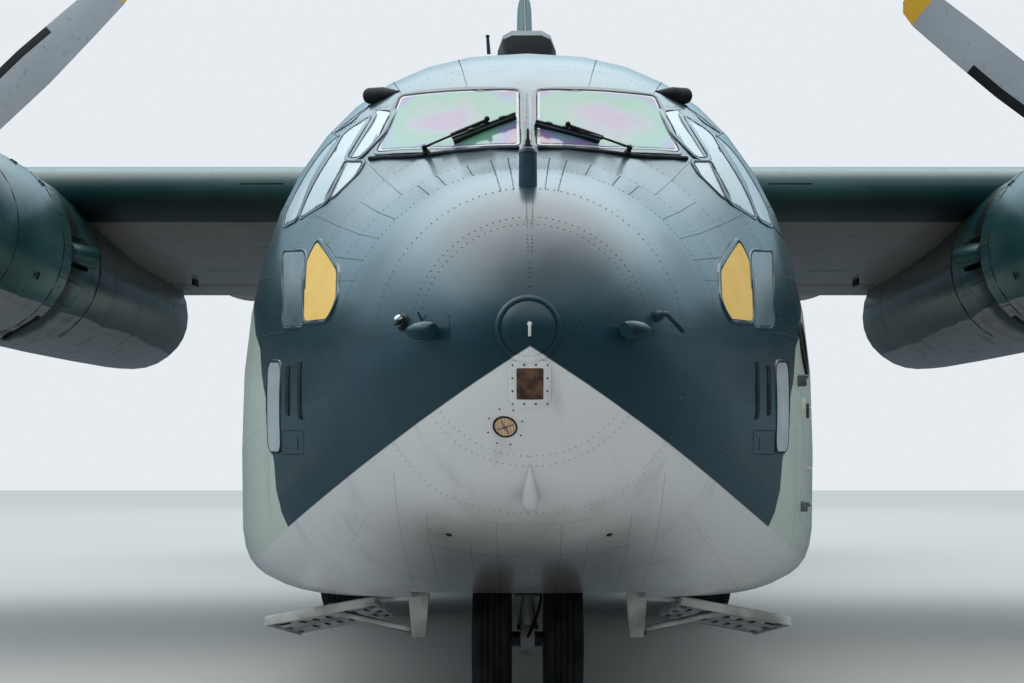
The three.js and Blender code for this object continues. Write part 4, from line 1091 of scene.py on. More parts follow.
def on_skin(tree, start, direction, reach=30.0):
    """Where a line meets the skin, and the skin's outward direction there."""
    for nudge in NUDGES:
        # A line that meets the skin exactly on an edge can slip through, so it is nudged aside
        origin = Vector(start) + Vector((nudge, nudge, nudge))
        place, normal, _, _ = tree.ray_cast(origin, Vector(direction).normalized(), reach)
        if place is not None:
            break
    if place is None:
        return None, None
    if normal.dot(Vector(direction)) > 0:
        normal = -normal
    return place, normal


def around(tree, station, angle, centre_z=1.9, reach=4.0):
    """The hull's skin at a station, at an angle in degrees measured up from the aircraft's left."""
    outward = spoke(math.radians(angle))
    return on_skin(tree, at(0, station, centre_z) + outward * reach, -outward, reach)


hull = tree_of("nose_cap", "cockpit_shell", "fuselage_shell", "crew_door")
place, normal = around(hull, 5.0, 0)
print("At station 5 the hull is", round(place.x, 3), "m from the middle")

# %% [markdown]
# The flat facets of the nose still show in glossy paint. Each corner's normal is therefore
# averaged with those of the skin round about it, which evens out the reflections without
# moving a single point.

# %% Evened normals of the nose
EVEN_REACH = 0.16
EVEN_LIMIT = math.cos(math.radians(38))
STAND_OFF = 0.15
EVEN_SAMPLES = 16


def even_normal(tree, place, own):
    """The mean direction of the outer skin round a place, near its own direction."""
    turn = own.to_track_quat("Z", "Y").to_matrix()
    total = own.copy()
    for i in range(EVEN_SAMPLES):
        reach = EVEN_REACH * (0.5 if i % 2 else 1.0)
        angle = math.tau * i / EVEN_SAMPLES
        offset = turn @ Vector((math.cos(angle), math.sin(angle), 0)) * reach
        found, normal, _, _ = tree.ray_cast(place + offset + own * STAND_OFF, -own, 2 * STAND_OFF)
        if found is not None and normal.dot(own) > EVEN_LIMIT:
            total += normal
    return total.normalized()


def even_out(made, tree):
    """Evens an object's corner normals and says how many different ones it has."""
    mesh = made.data
    known = {}
    wanted = []
    for loop, corner in zip(mesh.loops, mesh.corner_normals):
        own = corner.vector.copy()
        key = (loop.vertex_index, round(own.x, 2), round(own.y, 2), round(own.z, 2))
        if key not in known:
            known[key] = even_normal(tree, mesh.vertices[loop.vertex_index].co, own)
        wanted.append(known[key])
    mesh.normals_split_custom_set(wanted)
    return len(known)


evened = {node: even_out(skins[node], hull) for node in ("nose_cap", "cockpit_shell", "crew_door")}
print("Evened corners:", evened)

# %% [markdown]
# ## Windows
#
# The skin of the CAD model is made of flat facets, which would show as creases in shiny glass.
# So the script measures the skin at a few places under each window and fits one smooth curved
# surface through them. Pane, gasket and frame are then laid on that surface, each at its own
# height above it.

# %% Outlines of the nose windows
FRONT = "front"
SIDE = "side"
WINDOWS = [
    # name, seen from, glass, corner radius, frame width, growth, outline
    # Front outlines hold (X, Z) and side outlines (station, Z), all for the right-hand side
    ("windscreen", FRONT, side_glass, 0.02, 0.024, 0.006,
     [(-0.768, 3.014), (-0.684, 3.409), (-0.052, 3.362), (-0.045, 2.938), (-0.383, 2.945)]),
    ("quarter", SIDE, side_glass, 0.03, 0.022, 0.014,
     [(2.46, 3.363), (2.30, 3.292), (2.09, 3.099), (2.07, 3.021), (2.16, 3.04), (2.24, 3.147)]),
    ("side_front", SIDE, side_glass, 0.035, 0.022, 0.016,
     [(2.43, 3.305), (2.5, 3.247), (2.4, 3.123), (2.25, 2.745), (2.03, 2.773), (2.18, 3.026), (2.33, 3.214)]),
    ("side_rear", SIDE, side_glass, 0.035, 0.022, 0.016,
     [(2.6, 3.245), (2.71, 3.199), (2.72, 3.083), (2.69, 2.872), (2.53, 2.756), (2.34, 2.752)]),
    ("cheek", SIDE, side_glass, 0.02, 0.014, 0.008,
     [(1.99, 2.955), (2.12, 2.986), (2.09, 2.937), (2.04, 2.796), (1.97, 2.786), (1.94, 2.872)]),
    ("brow", SIDE, side_glass, 0.02, 0.018, 0.0,
     [(2.72, 3.452), (2.66, 3.356), (2.83, 3.35)]),
    ("nose_upper", SIDE, grey_glass, 0.06, 0.014, 0.004,
     [(2.29, 2.554), (1.91, 2.489), (1.48, 2.063), (1.86, 2.107)]),
    ("nose_lower", SIDE, side_glass, 0.06, 0.012, 0.0,
     [(2.04, 1.942), (1.78, 1.918), (1.71, 1.468), (1.96, 1.474)]),
]
NOSE_NODES = ("nose_cap", "cockpit_shell", "flight_deck_glazing", "crew_door", "fuselage_shell")
nose_tree = tree_of(*NOSE_NODES)
print(len(WINDOWS), "windows on each side")

# %% [markdown]
# The CAD skin is made of flat facets, so glass laid straight on it would show them. A Patch
# fits one smooth surface, a quadratic in two directions, to points of the skin found under an
# outline. Points far from the usual depth are left out, and so are those that stray from a
# first fit.

# %% A smooth surface under an outline
BESIDE = 4.0
FAR_OFF = 0.6
STRAY = 0.02
SAMPLE_SHARES = (0.35, 0.7, 1.0, 1.08)


def terms(first, second):
    return [1, first, second, first * first, first * second, second * second]


class Patch:
    """A smooth surface through the hull under an outline seen from the front or the side."""

    def __init__(self, view, outline):
        self.view = view
        self.outline = [(a, b) if view == FRONT else (NOSE_Y + a, b) for a, b in outline]
        self.middle = [sum(spot[i] for spot in self.outline) / len(outline) for i in (0, 1)]
        between = [((a[0] + b[0]) / 2, (a[1] + b[1]) / 2) for a, b in zip(self.outline, self.outline[1:])]
        found = []
        for spot in self.outline + between:
            for share in SAMPLE_SHARES:
                a, b = [m + (s - m) * share for s, m in zip(spot, self.middle)]
                depth = self.measure(a, b)
                if depth is not None:
                    found.append((a, b, depth))
        usual = sorted(depth for _, _, depth in found)[len(found) // 2]
        self.fit([row for row in found if abs(row[2] - usual) < FAR_OFF])
        self.fit([row for row in found if abs(row[2] - self.depth(*row[:2])) < STRAY])

    def measure(self, a, b):
        """How deep the skin lies at one place of the flat outline."""
        if self.view == FRONT:
            place, _ = on_skin(nose_tree, (a, NOSE_Y - 1, b), BACK)
            return place and place.y
        place, _ = on_skin(nose_tree, (-BESIDE, a, b), ACROSS)
        return place and place.x

    def fit(self, found):
        rows = np.array([terms(a - self.middle[0], b - self.middle[1]) for a, b, _ in found])
        self.factors = np.linalg.lstsq(rows, np.array([row[2] for row in found]), rcond=None)[0]

    def depth(self, a, b):
        return float(np.dot(self.factors, terms(a - self.middle[0], b - self.middle[1])))

    def place(self, a, b, lift=0.0):
        """A point on the surface, lifted off it."""
        _, fa, fb, faa, fab, fbb = self.factors
        da, db = a - self.middle[0], b - self.middle[1]
        slopes = (fa + 2 * faa * da + fab * db, fb + fab * da + 2 * fbb * db)
        depth = self.depth(a, b)
        if self.view == FRONT:
            return Vector((a, depth, b)) + Vector((slopes[0], -1, slopes[1])).normalized() * lift
        return Vector((depth, a, b)) + Vector((-1, slopes[0], slopes[1])).normalized() * lift

    def lay(self, bm, lift=0.0):
        """Bends a flat mesh, drawn in x and y, onto the surface; its z becomes height above it."""
        for vert in bm.verts:
            vert.co = self.place(vert.co.x, vert.co.y, lift + vert.co.z)


print("Patches can be fitted")

# %% [markdown]
# An outline is grown or shrunk by moving every edge sideways and letting neighbours meet
# again. Bevelling only the corners of the flat face then rounds them.

# %% Flat outlines
def grown(outline, distance):
    """The outline with every edge moved outwards by the distance."""
    area = sum(a[0] * b[1] - b[0] * a[1] for a, b in zip(outline, outline[1:] + outline[:1]))
    turn = 1 if area > 0 else -1
    made = []
    for i, corner in enumerate(outline):
        before, after = Vector(outline[i - 1]), Vector(outline[(i + 1) % len(outline)])
        here = Vector(corner)
        normals = []
        for start, end in ((before, here), (here, after)):
            line = (end - start).normalized()
            normals.append(Vector((line.y, -line.x)) * turn)
        both = normals[0] + normals[1]
        made.append(tuple(here + both * (distance / max(0.3, both.dot(normals[0])))))
    return made


def flat_face(outline, radius, grow=0.0, corner_steps=5):
    bm = bmesh.new()
    bm.faces.new([bm.verts.new((a, b, 0)) for a, b in grown(outline, grow)])
    bmesh.ops.bevel(
        bm, geom=bm.verts[:], offset=max(0.003, radius + grow), segments=corner_steps, affect="VERTICES",
        profile=0.5, material=-1, clamp_overlap=True,
    )
    bmesh.ops.remove_doubles(bm, verts=bm.verts, dist=0.0005)
    return bm


def divide(bm, longest):
    """Splits long edges, so that the flat shape can bend with the skin."""
    for _ in range(5):
        bmesh.ops.triangulate(bm, faces=bm.faces[:])
        long_edges = [edge for edge in bm.edges if edge.calc_length() > longest]
        if not long_edges:
            return
        bmesh.ops.subdivide_edges(bm, edges=long_edges, cuts=1)


def slab(patch, radius, grow, low, high):
    """A plate on the patch's surface between two heights above it."""
    bm = flat_face(patch.outline, radius, grow)
    divide(bm, 0.09)
    made = bmesh.ops.extrude_face_region(bm, geom=bm.faces[:])
    for vert in [one for one in made["geom"] if isinstance(one, bmesh.types.BMVert)]:
        vert.co.z = high - low
    patch.lay(bm, low)
    return bm


def band(patch, radius, start, end, low, high):
    """A raised ring round the outline between two distances outside it, its top edges rounded."""
    bm = flat_face(patch.outline, radius, end)
    inner = bm.faces[:]
    ring = bmesh.ops.inset_region(
        bm, faces=inner, thickness=end - start, use_boundary=True, use_even_offset=True
    )
    bmesh.ops.delete(bm, geom=[face for face in bm.faces if face not in ring["faces"]], context="FACES")
    for _ in range(3):
        long_edges = [edge for edge in bm.edges if edge.calc_length() > 0.1]
        bmesh.ops.subdivide_edges(bm, edges=long_edges, cuts=1, use_grid_fill=True)
    made = bmesh.ops.extrude_face_region(bm, geom=bm.faces[:])
    raised = [one for one in made["geom"] if isinstance(one, bmesh.types.BMVert)]
    for vert in raised:
        vert.co.z = high - low
    top = set(raised)
    rims = [edge for edge in bm.edges if len(edge.link_faces) == 2 and set(edge.verts) <= top]
    rims = [edge for edge in rims if edge.calc_face_angle(0) > 1]
    round_edges(bm, rims, (high - low) * 0.4)
    patch.lay(bm, low)
    return bm


print("Plates and rings can be laid on the skin")

# %% [markdown]
# Every window gets a pane, a dark rubber gasket and a frame. The windscreen has a second
# pane inside its clear edge: the film that heats it, which gives the pink and green shimmer.

# %% Panes and frames of the nose
RUBBER_WIDTH = 0.003
PANE_LOW = -0.012
PANE_HIGH = 0.0035

patches = {}
glass_parts = {}
frame_bm = bmesh.new()
FRAME_FINISHES = {
    "black_rubber": finish["black_rubber"], "paint": trim_paint, "white_metal": finish["white_metal"],
}
frame_finishes = list(FRAME_FINISHES)
paint_slot = frame_finishes.index("paint")
for name, view, glass, radius, width, growth, outline in WINDOWS:
    patch = patches[name] = Patch(view, grown(outline, growth))
    target = glass_parts.setdefault(glass.name, (bmesh.new(), glass))[0]
    join(target, slab(patch, radius, 0.004, PANE_LOW, PANE_HIGH))
    join(frame_bm, band(patch, radius, -RUBBER_WIDTH, 0.003, PANE_HIGH - 0.004, 0.006))
    join(frame_bm, band(patch, radius, 0.003, width, -0.006, 0.0065), None, paint_slot)
film = glass_parts.setdefault(screen_glass.name, (bmesh.new(), screen_glass))[0]
join(film, slab(patches["windscreen"], 0.03, -0.017, PANE_HIGH + 0.0005, PANE_HIGH + 0.0025))

for label, (bm, glass) in glass_parts.items():
    add_mirrored(bm)
    panes = new_piece(label + "_panes", bm, "airframe", glass, 30)
    if glass == side_glass:
        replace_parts(panes, "flight_deck_glazing")
add_mirrored(frame_bm)
new_piece("window_frames", frame_bm, "airframe", list(FRAME_FINISHES.values()), 40)
print("Panes:", ", ".join(glass_parts))

# %% [markdown]
# ## Fittings of the nose
#
# The blunt nose carries a round boss with a small probe, two bullet-shaped fairings, an outside
# air probe, a lamp behind glass, an instrument window and a mast for the long wire aerial.
# front_spot() and side_spot() find where each one stands and which way the skin faces there.

# %% Places on the nose
def front_spot(x, z, lift=0.0):
    """The skin straight behind a place seen from ahead, and its outward direction."""
    place, normal = on_skin(nose_tree, (x, NOSE_Y - 1, z), BACK)
    return place + normal * lift, normal


def side_spot(side, station, z, lift=0.0):
    """The skin beside a station, on the left (1) or the right (-1) of the aeroplane."""
    place, normal = on_skin(nose_tree, at(side * BESIDE, station, z), -side * ACROSS)
    return place + normal * lift, normal


def add_screws(bm, spots, radius):
    """Small round screw heads at (place, normal) spots."""
    for place, normal in spots:
        add_bar(bm, place - normal * 0.002, place + normal * 0.002, radius, radius * 0.6, segments=8)


def round_spots(centre, radius, count, turn=0.0):
    """Spots on a circle about a place seen from ahead."""
    angles = [turn + math.tau * i / count for i in range(count)]
    return [front_spot(centre[0] + radius * math.cos(a), centre[1] + radius * math.sin(a)) for a in angles]


print("The nose tip is at", [round(v, 3) for v in front_spot(0, 1.88)[0]])

# %% [markdown]
# A round boss covers the nose tip, and a small bent tube with a cup at its lower end is
# fastened to its middle.

# %% Boss and probe on the nose tip
BOSS_RADIUS = 0.124
BOSS_CENTRE = (-0.006, 1.88)
BOSS_PROFILE = [
    (0.0, 0.034), (0.03, 0.032), (0.06, 0.026), (0.085, 0.016), (0.104, 0.004),
    (0.107, 0.009), (0.115, 0.008), (BOSS_RADIUS, 0.002), (BOSS_RADIUS, -0.045), (0.0, -0.045),
]
bm = bmesh.new()
tip = at(BOSS_CENTRE[0], 0.0, BOSS_CENTRE[1])
add_turned(bm, frame_at(tip, FORWARD), BOSS_PROFILE, segments=64)
new_piece("nose_boss", bm, "airframe", nose_paint, 25)

bm = bmesh.new()
PROBE = [(0.004, 0, 0.012), (0.004, -0.05, 0.018), (0.004, -0.066, 0), (0.004, -0.06, -0.035)]
probe = [tip + Vector(offset) for offset in PROBE]
add_pipe(bm, probe, 0.0055)
add_bar(bm, probe[0] + Vector((0, -0.014, 0)), probe[0] + Vector((0, -0.034, 0.002)), 0.013, 0.009)
add_bar(bm, probe[-1], probe[-1] + Vector((0, 0.001, -0.006)), 0.007, 0.005, slot=1)
new_piece("nose_probe", bm, "airframe", coats("white_metal black_paint"))
print("Boss radius", BOSS_RADIUS)

# %% [markdown]
# The bullet fairings lie along the skin, pointing outwards. Turning a short profile about the
# line from the blunt end to the tip gives their shape.

# %% Bullet fairings, ball lamp and air probe
BULLET_PROFILE = [
    (0.0, -0.004), (0.026, -0.003), (0.033, 0.006), (0.036, 0.05), (0.033, 0.09),
    (0.024, 0.13), (0.011, 0.158), (0.0, 0.168),
]
BULLETS = [
    # blunt end and tip as (X, Z) seen from ahead
    ((-0.330, 1.882), (-0.462, 1.893)),
    ((0.322, 1.884), (0.455, 1.896)),
]
bm = bmesh.new()
for start, end in BULLETS:
    foot, _ = front_spot(*start, 0.050)
    tip_place, _ = front_spot(*end, 0.046)
    add_turned(bm, place_along(foot, tip_place), BULLET_PROFILE, segments=28)
    middle = front_spot((start[0] + end[0]) / 2, (start[1] + end[1]) / 2)
    add_plate(bm, middle, (0.10, 0.03, 0.06), 0.008)
new_piece("nose_bullets", bm, "airframe", finish["bullet_paint"], 40)

bm = bmesh.new()
place, normal = front_spot(-0.494, 1.942)
seat = [(0.0, -0.01), (0.034, -0.01), (0.034, 0.004), (0.028, 0.008), (0.0, 0.008)]
hood = [(0.027, 0.0), (0.0275, 0.006), (0.018, 0.021), (0.0, 0.028)]
add_turned(bm, frame_at(place, normal), seat, 0, 24)
add_ball(bm, frame_at(place + normal * 0.016, normal), (0.026, 0.026, 0.026), 1, 24)
add_turned(bm, frame_at(place + normal * 0.014, normal + UP * 0.9), hood, 2, 24)
new_piece("ball_lamp", bm, "airframe", coats("black_paint chrome burnt_steel"), 40)

bm = bmesh.new()
place, normal = front_spot(0.497, 1.966)
out = place + normal * 0.045
end = out + Vector((0.062, 0.03, -0.058))
base = [(0.0, -0.01), (0.024, -0.01), (0.022, 0.012), (0.014, 0.03), (0.0, 0.03)]
add_turned(bm, frame_at(place, normal), base, 0, 20)
bend = [out + Vector(offset) for offset in ((-0.004, -0.004, 0.004), (0.016, 0.002, -0.014))]
add_pipe(bm, [place, *bend, end], 0.0105)
add_bar(bm, end, end + (end - out).normalized() * 0.014, 0.0115, 0.008)
place, normal = front_spot(-0.413, 1.935)
add_bar(bm, place, place + normal * 0.02 + UP * 0.03, 0.0035)
new_piece("air_probe", bm, "airframe", finish["slate_metal"])
print("Bullets, ball lamp and air probe stand on the nose")

# %% [markdown]
# Plates and rings are drawn as outlines seen from ahead and bent onto the nose cap. The
# instrument window has a brown pane in a raised ring with screws round it.

# %% Plates and windows in the nose cap
NOSE_PLATES = [
    # outline seen from ahead, corner radius
    [(-0.396, 1.947), (-0.302, 1.95), (-0.302, 1.832), (-0.398, 1.828)],
    [(0.30, 1.952), (0.392, 1.949), (0.394, 1.83), (0.30, 1.834)],
]
INSTRUMENT_GLASS = [(-0.049, 1.738), (0.049, 1.738), (0.049, 1.627), (-0.049, 1.627)]
GLASS_Z = 1.6825
ARCH = [(0.145, 1.85), (0.16, 1.893), (0.181, 1.918), (0.202, 1.893), (0.222, 1.85)]

bm = bmesh.new()
for outline in NOSE_PLATES:
    join(bm, slab(Patch(FRONT, outline), 0.006, 0.0, -0.003, 0.002))
join(bm, band(Patch(FRONT, ARCH), 0.006, 0.0, 0.004, -0.002, 0.002))
glass_patch = Patch(FRONT, INSTRUMENT_GLASS)
join(bm, band(glass_patch, 0.004, 0.0, 0.029, -0.004, 0.010))
new_piece("nose_plates", bm, "airframe", nose_paint, 30)

bm = bmesh.new()
join(bm, slab(glass_patch, 0.006, 0.003, -0.004, 0.004))
new_piece("instrument_glass", bm, "airframe", finish["brown_glass"])

bm = bmesh.new()
offsets = [(u, v) for u in (-0.063, -0.021, 0.021, 0.063) for v in (-0.069, 0.069)]
offsets += [(u, v) for u in (-0.063, 0.063) for v in (-0.023, 0.023)]
ring_spots = [(glass_patch.place(u, GLASS_Z + v, 0.010), FORWARD) for u, v in offsets]
add_screws(bm, ring_spots, 0.0045)
add_screws(bm, round_spots((-0.094, 1.526), 0.068, 8, 0.3), 0.0048)
new_piece("nose_screws", bm, "airframe", finish["steel"])
print("Instrument window framed")

# %% [markdown]
# The lamp sits in a turned ring, with a domed lens and two crossed bars before its bulb. The
# fairing below it is a drop turned about its own length.

# %% Lamp behind glass, and the drip fairing
LAMP = (-0.094, 1.526)
LAMP_RADIUS = 0.044
place, normal = front_spot(*LAMP)
bm = bmesh.new()
ring = [(-0.003, 0.0), (-0.002, 0.004), (0.002, 0.004), (0.004, 0.0), (0.004, -0.006), (-0.003, -0.006)]
ring = [(LAMP_RADIUS + out, height) for out, height in ring]
add_turned(bm, frame_at(place, normal), ring, 0, 40, closed=True)
lens_radius = LAMP_RADIUS - 0.004
lens = [(0.0, 0.004), (0.02, 0.0035), (lens_radius, 0.0), (lens_radius, -0.005), (0.0, -0.005)]
add_turned(bm, frame_at(place, normal), lens, 1, 40)
for turn in (0.5, 1.9):
    reach = spoke(turn) * (LAMP_RADIUS - 0.008)
    reach -= normal * reach.dot(normal)
    add_bar(bm, place - reach + normal * 0.004, place + reach + normal * 0.004, 0.002, None, 2, 8)
add_ball(bm, frame_at(place + normal * 0.003, normal), (0.008, 0.008, 0.005), 2, 16)
new_piece("nose_lamp", bm, "airframe", [finish["black_paint"], lamp_glass, finish["grey_metal"]])

bm = bmesh.new()
top, normal = front_spot(0.0, 1.387)
foot, _ = front_spot(0.0, 1.25)
drop = [
    (0.0, 0.0), (0.004, 0.012), (0.018, 0.09), (0.032, 0.17), (0.036, 0.2), (0.032, 0.222),
    (0.018, 0.234), (0.0, 0.237),
]
add_turned(bm, place_along(top + normal * 0.004, foot + normal * 0.030), drop, 0, 32)
new_piece("drip_fairing", bm, "airframe", nose_paint, 50)
print("Lamp radius", LAMP_RADIUS)

# %% [markdown]
# A rounded mast on top of the nose holds the front end of the long wire aerial, which runs
# back over the cockpit to the tip of the fin. The wire is taut, so it is a thin straight bar.

# %% Mast and wire aerial
MAST_RADIUS = 0.037
MAST_BASE = Vector((-0.006, NOSE_Y + 0.56, 2.50))
MAST_TOP = 2.684
MAST_TIP = 2.757
FIN_END = at(0.0, 20.02, 10.30)
height = MAST_TOP - MAST_BASE.z
bm = bmesh.new()
mast = [
    (0.0, -0.05), (MAST_RADIUS + 0.003, -0.05), (MAST_RADIUS + 0.001, 0.03),
    (MAST_RADIUS, height - 0.03), (MAST_RADIUS - 0.003, height - 0.012),
    (MAST_RADIUS - 0.012, height - 0.002), (MAST_RADIUS - 0.018, height), (0.0, height + 0.001),
]
hoop = [(-0.004, -0.001), (0.0014, -0.001), (0.0014, 0.001), (-0.004, 0.001)]
hoop = [(MAST_RADIUS + out, rise) for out, rise in hoop]
add_turned(bm, Matrix.Translation(MAST_BASE), mast, 0, 40)
for share in (0.55, 0.86):
    add_turned(bm, Matrix.Translation(MAST_BASE + UP * height * share), hoop, 0, 40, closed=True)
tip_base = Vector((MAST_BASE.x, MAST_BASE.y, MAST_TOP))
aerial_start = Vector((MAST_BASE.x, MAST_BASE.y, MAST_TIP))
insulator_height = MAST_TIP - MAST_TOP
insulator = [
    (0.0, 0.0), (0.019, 0.0), (0.019, 0.007), (0.012, 0.009), (0.010, 0.03), (0.007, 0.034),
    (0.004, insulator_height), (0.0, insulator_height),
]
add_turned(bm, Matrix.Translation(tip_base), insulator, 1, 20)
add_bar(bm, aerial_start, FIN_END, 0.0042, None, 2, 8)
add_bar(bm, FIN_END + Vector((0, -0.14, -0.055)), FIN_END + Vector((0, 0.05, 0.02)), 0.011, None, 1, 12)
new_piece("wire_aerial", bm, "airframe", coats("slate_metal black_rubber grey_metal"))
print("Aerial length", round((FIN_END - aerial_start).length, 2))

# %% [markdown]
# A wiper is a boss at the foot of the windscreen, an arm and a blade of three layers. Its
# corners are read off the photograph and laid on the smooth surface of the glass.

# %% Wipers
WIPERS = [
    # pivot, arm end, blade ends as (X, Z) seen from ahead
    ((-0.499, 2.931), (-0.195, 3.065), (-0.361, 2.966), (-0.061, 3.125)),
    ((0.485, 2.927), (0.185, 3.022), (0.345, 2.966), (0.033, 3.066)),
]
BLADE_LAYERS = [
    # height above the glass, size, slot: holder, spring and rubber
    (0.012, (0.016, 0.010), 0), (0.002, (0.005, 0.012), 1), (-0.012, (0.004, 0.022), 2),
]
screen = patches["windscreen"]


def on_screen(x, z, lift):
    """A place on either windscreen; the right-hand patch is mirrored for the left."""
    place = screen.place(-abs(x), z, lift)
    return Vector((math.copysign(place.x, x), place.y, place.z))


bm = bmesh.new()
for pivot, arm_end, low_end, high_end in WIPERS:
    hub = on_screen(*pivot, 0.0)
    out = (on_screen(*pivot, 0.05) - hub).normalized()
    boss = [(0.0, -0.02), (0.022, -0.02), (0.020, 0.012), (0.013, 0.02), (0.012, 0.046), (0.0, 0.05)]
    add_turned(bm, frame_at(hub, out), boss, 0, 20)
    arm = [hub + out * 0.036, on_screen(*arm_end, 0.052)]
    add_bar(bm, arm[0], arm[0].lerp(arm[1], 0.45), 0.006, 0.0055, 0, 10)
    add_bar(bm, arm[0].lerp(arm[1], 0.43), arm[1], 0.012, 0.009, 0, 10)
    add_ball(bm, Matrix.Translation(arm[1] + out * 0.006), (0.014, 0.014, 0.014), 0, 12)
    low, high = on_screen(*low_end, 0.03), on_screen(*high_end, 0.03)
    middle = low.lerp(high, 0.5)
    along = (high - low).normalized()
    turn = Matrix((out.cross(along), out, along)).transposed().to_4x4()
    for lift, size, slot in BLADE_LAYERS:
        layer = Matrix.Translation(middle + out * lift) @ turn
        add_box(bm, layer, (*size, (high - low).length), 0.0015, slot)
    for share in (0.3, 0.55, 0.8):
        spot = low.lerp(high, share)
        add_box(bm, Matrix.Translation(spot + out * 0.014) @ turn, (0.022, 0.016, 0.03), 0.003, 0)
new_piece("wipers", bm, "airframe", coats("black_paint grey_metal black_rubber"))
print(len(WIPERS), "wipers")

# %% [markdown]
# A rubber seal runs under the windscreens, a black elbow stands at each upper corner, and one
# short aerial rises from the roof. Two small rubber blocks sit low on the nose.

# %% Rubber seal, corner elbows and roof aerial
bm = bmesh.new()
seal = [(-0.81, 2.974), (-0.7, 2.952), (-0.539, 2.923), (-0.4, 2.913), (-0.25, 2.908), (-0.045, 2.902)]
add_pipe(bm, [front_spot(x, z, 0.004)[0] for x, z in seal], 0.012)
elbow = [at(-0.915, 2.76, 3.525), at(-0.80, 2.66, 3.505)]
add_bar(bm, *elbow, 0.045, 0.042, 0, 24, 0.018)
add_bar(bm, elbow[1] - Vector((0.01, 0, 0)), at(-0.715, 2.56, 3.48), 0.04, 0.018, 0, 24)
add_bar(bm, elbow[0].lerp(elbow[1], 0.6), at(-0.83, 2.72, 3.42), 0.018, 0.012, 0, 14)
add_mirrored(bm)
roof = at(-0.25, 3.9, 4.13)
add_bar(bm, roof, roof + Vector((-0.008, 0, 0.11)), 0.013, 0.010, 1, 14)
add_ball(bm, Matrix.Translation(roof + Vector((-0.008, 0, 0.115))), (0.014, 0.014, 0.012), 1, 12)
for side in SIDES:
    add_plate(bm, front_spot(side * 0.34, 1.096), (0.022, 0.018, 0.012), 0.002)
new_piece("nose_rubber", bm, "airframe", coats("black_rubber slate_metal"))
print("Seal, elbows and roof aerial are on")

# %% [markdown]
# Two windows beside the nose are blanked with yellow sheet. Rings, slots and a hatch are
# laid round them in the same way as the window frames.

# %% Blanked windows, slots and hatches beside the nose
BLANK = [(1.83, 2.53), (1.83, 2.415), (1.50, 2.085), (1.08, 2.045), (1.045, 2.125), (1.26, 2.29)]
SLOTS = [
    [(1.66, 1.888), (1.60, 1.883), (1.555, 1.638), (1.615, 1.651)],
    [(1.446, 1.888), (1.391, 1.883), (1.337, 1.608), (1.385, 1.62)],
]
HATCH = [(1.69, 1.571), (1.32, 1.556), (1.33, 1.45), (1.70, 1.458)]
SIDE_PLATES = [
    # outline, corner radius, ring from and to, ring height, finish of the ring
    (BLANK, 0.1, -0.002, 0.003, 0.007, "black_rubber"),
    (BLANK, 0.1, 0.003, 0.020, 0.009, "paint"),
    (HATCH, 0.012, 0.0, 0.004, 0.0015, "black_rubber"),
]
bm = bmesh.new()
for outline, radius, start, end, height, label in SIDE_PLATES:
    slot = frame_finishes.index(label)
    join(bm, band(Patch(SIDE, outline), radius, start, end, -0.004, height), None, slot)
for outline in SLOTS:
    join(bm, slab(Patch(SIDE, outline), 0.004, 0.0, -0.006, 0.005))
add_plate(bm, side_spot(-1, 1.42, 1.50), (0.012, 0.06, 0.006), 0.002, 1)
add_mirrored(bm)
new_piece("side_plates", bm, "airframe", list(FRAME_FINISHES.values()), 40)

bm = bmesh.new()
join(bm, slab(Patch(SIDE, BLANK), 0.1, 0.0, -0.006, 0.005))
add_mirrored(bm)
new_piece("yellow_blanks", bm, "airframe", finish["yellow_blank"])
print("Blanks and slots on both sides")

# %% [markdown]
# ## Rivets of the nose
#
# The sheets of the nose meet on rings round the hull and on lines that run back along it, and
# every seam carries a row of rivets. Each rivet is a shallow six-sided cone. A row is found by
# sampling the skin, measuring along it and setting a rivet at every pitch.

# %% Rivet rows
RIVET_SIZE = 0.0052
RIVET_HEIGHT = 0.0018
RIVET_TAPER = 0.45
OPENING = 0.012
shell_tree = tree_of("nose_cap", "cockpit_shell", "crew_door", "fuselage_shell")


def skin_line(samples):
    """Skin places for (station, angle) samples, leaving out those over a window."""
    made = []
    for station, angle in samples:
        place, normal = around(shell_tree, station, angle)
        cover, _ = around(nose_tree, station, angle)
        if place is None or (place - cover).length > OPENING:
            made.append(None)
        else:
            made.append((place, normal))
    return made


def rivet_row(bm, line, pitch):
    """Rivets at even distances along a line of skin places."""
    left = 0.0
    count = 0
    for here, there in zip(line, line[1:]):
        if here is None or there is None:
            continue
        (start, normal), (end, _) = here, there
        length = (end - start).length
        while left < length:
            place = start.lerp(end, left / length)
            matrix = frame_at(place, normal, BACK if abs(normal.z) > 0.9 else UP)
            bmesh.ops.create_cone(
                bm, cap_ends=True, segments=6, radius1=RIVET_SIZE, radius2=RIVET_SIZE * RIVET_TAPER,
                depth=RIVET_HEIGHT * 2, matrix=matrix,
            )
            left += pitch
            count += 1
        left -= length
    return count


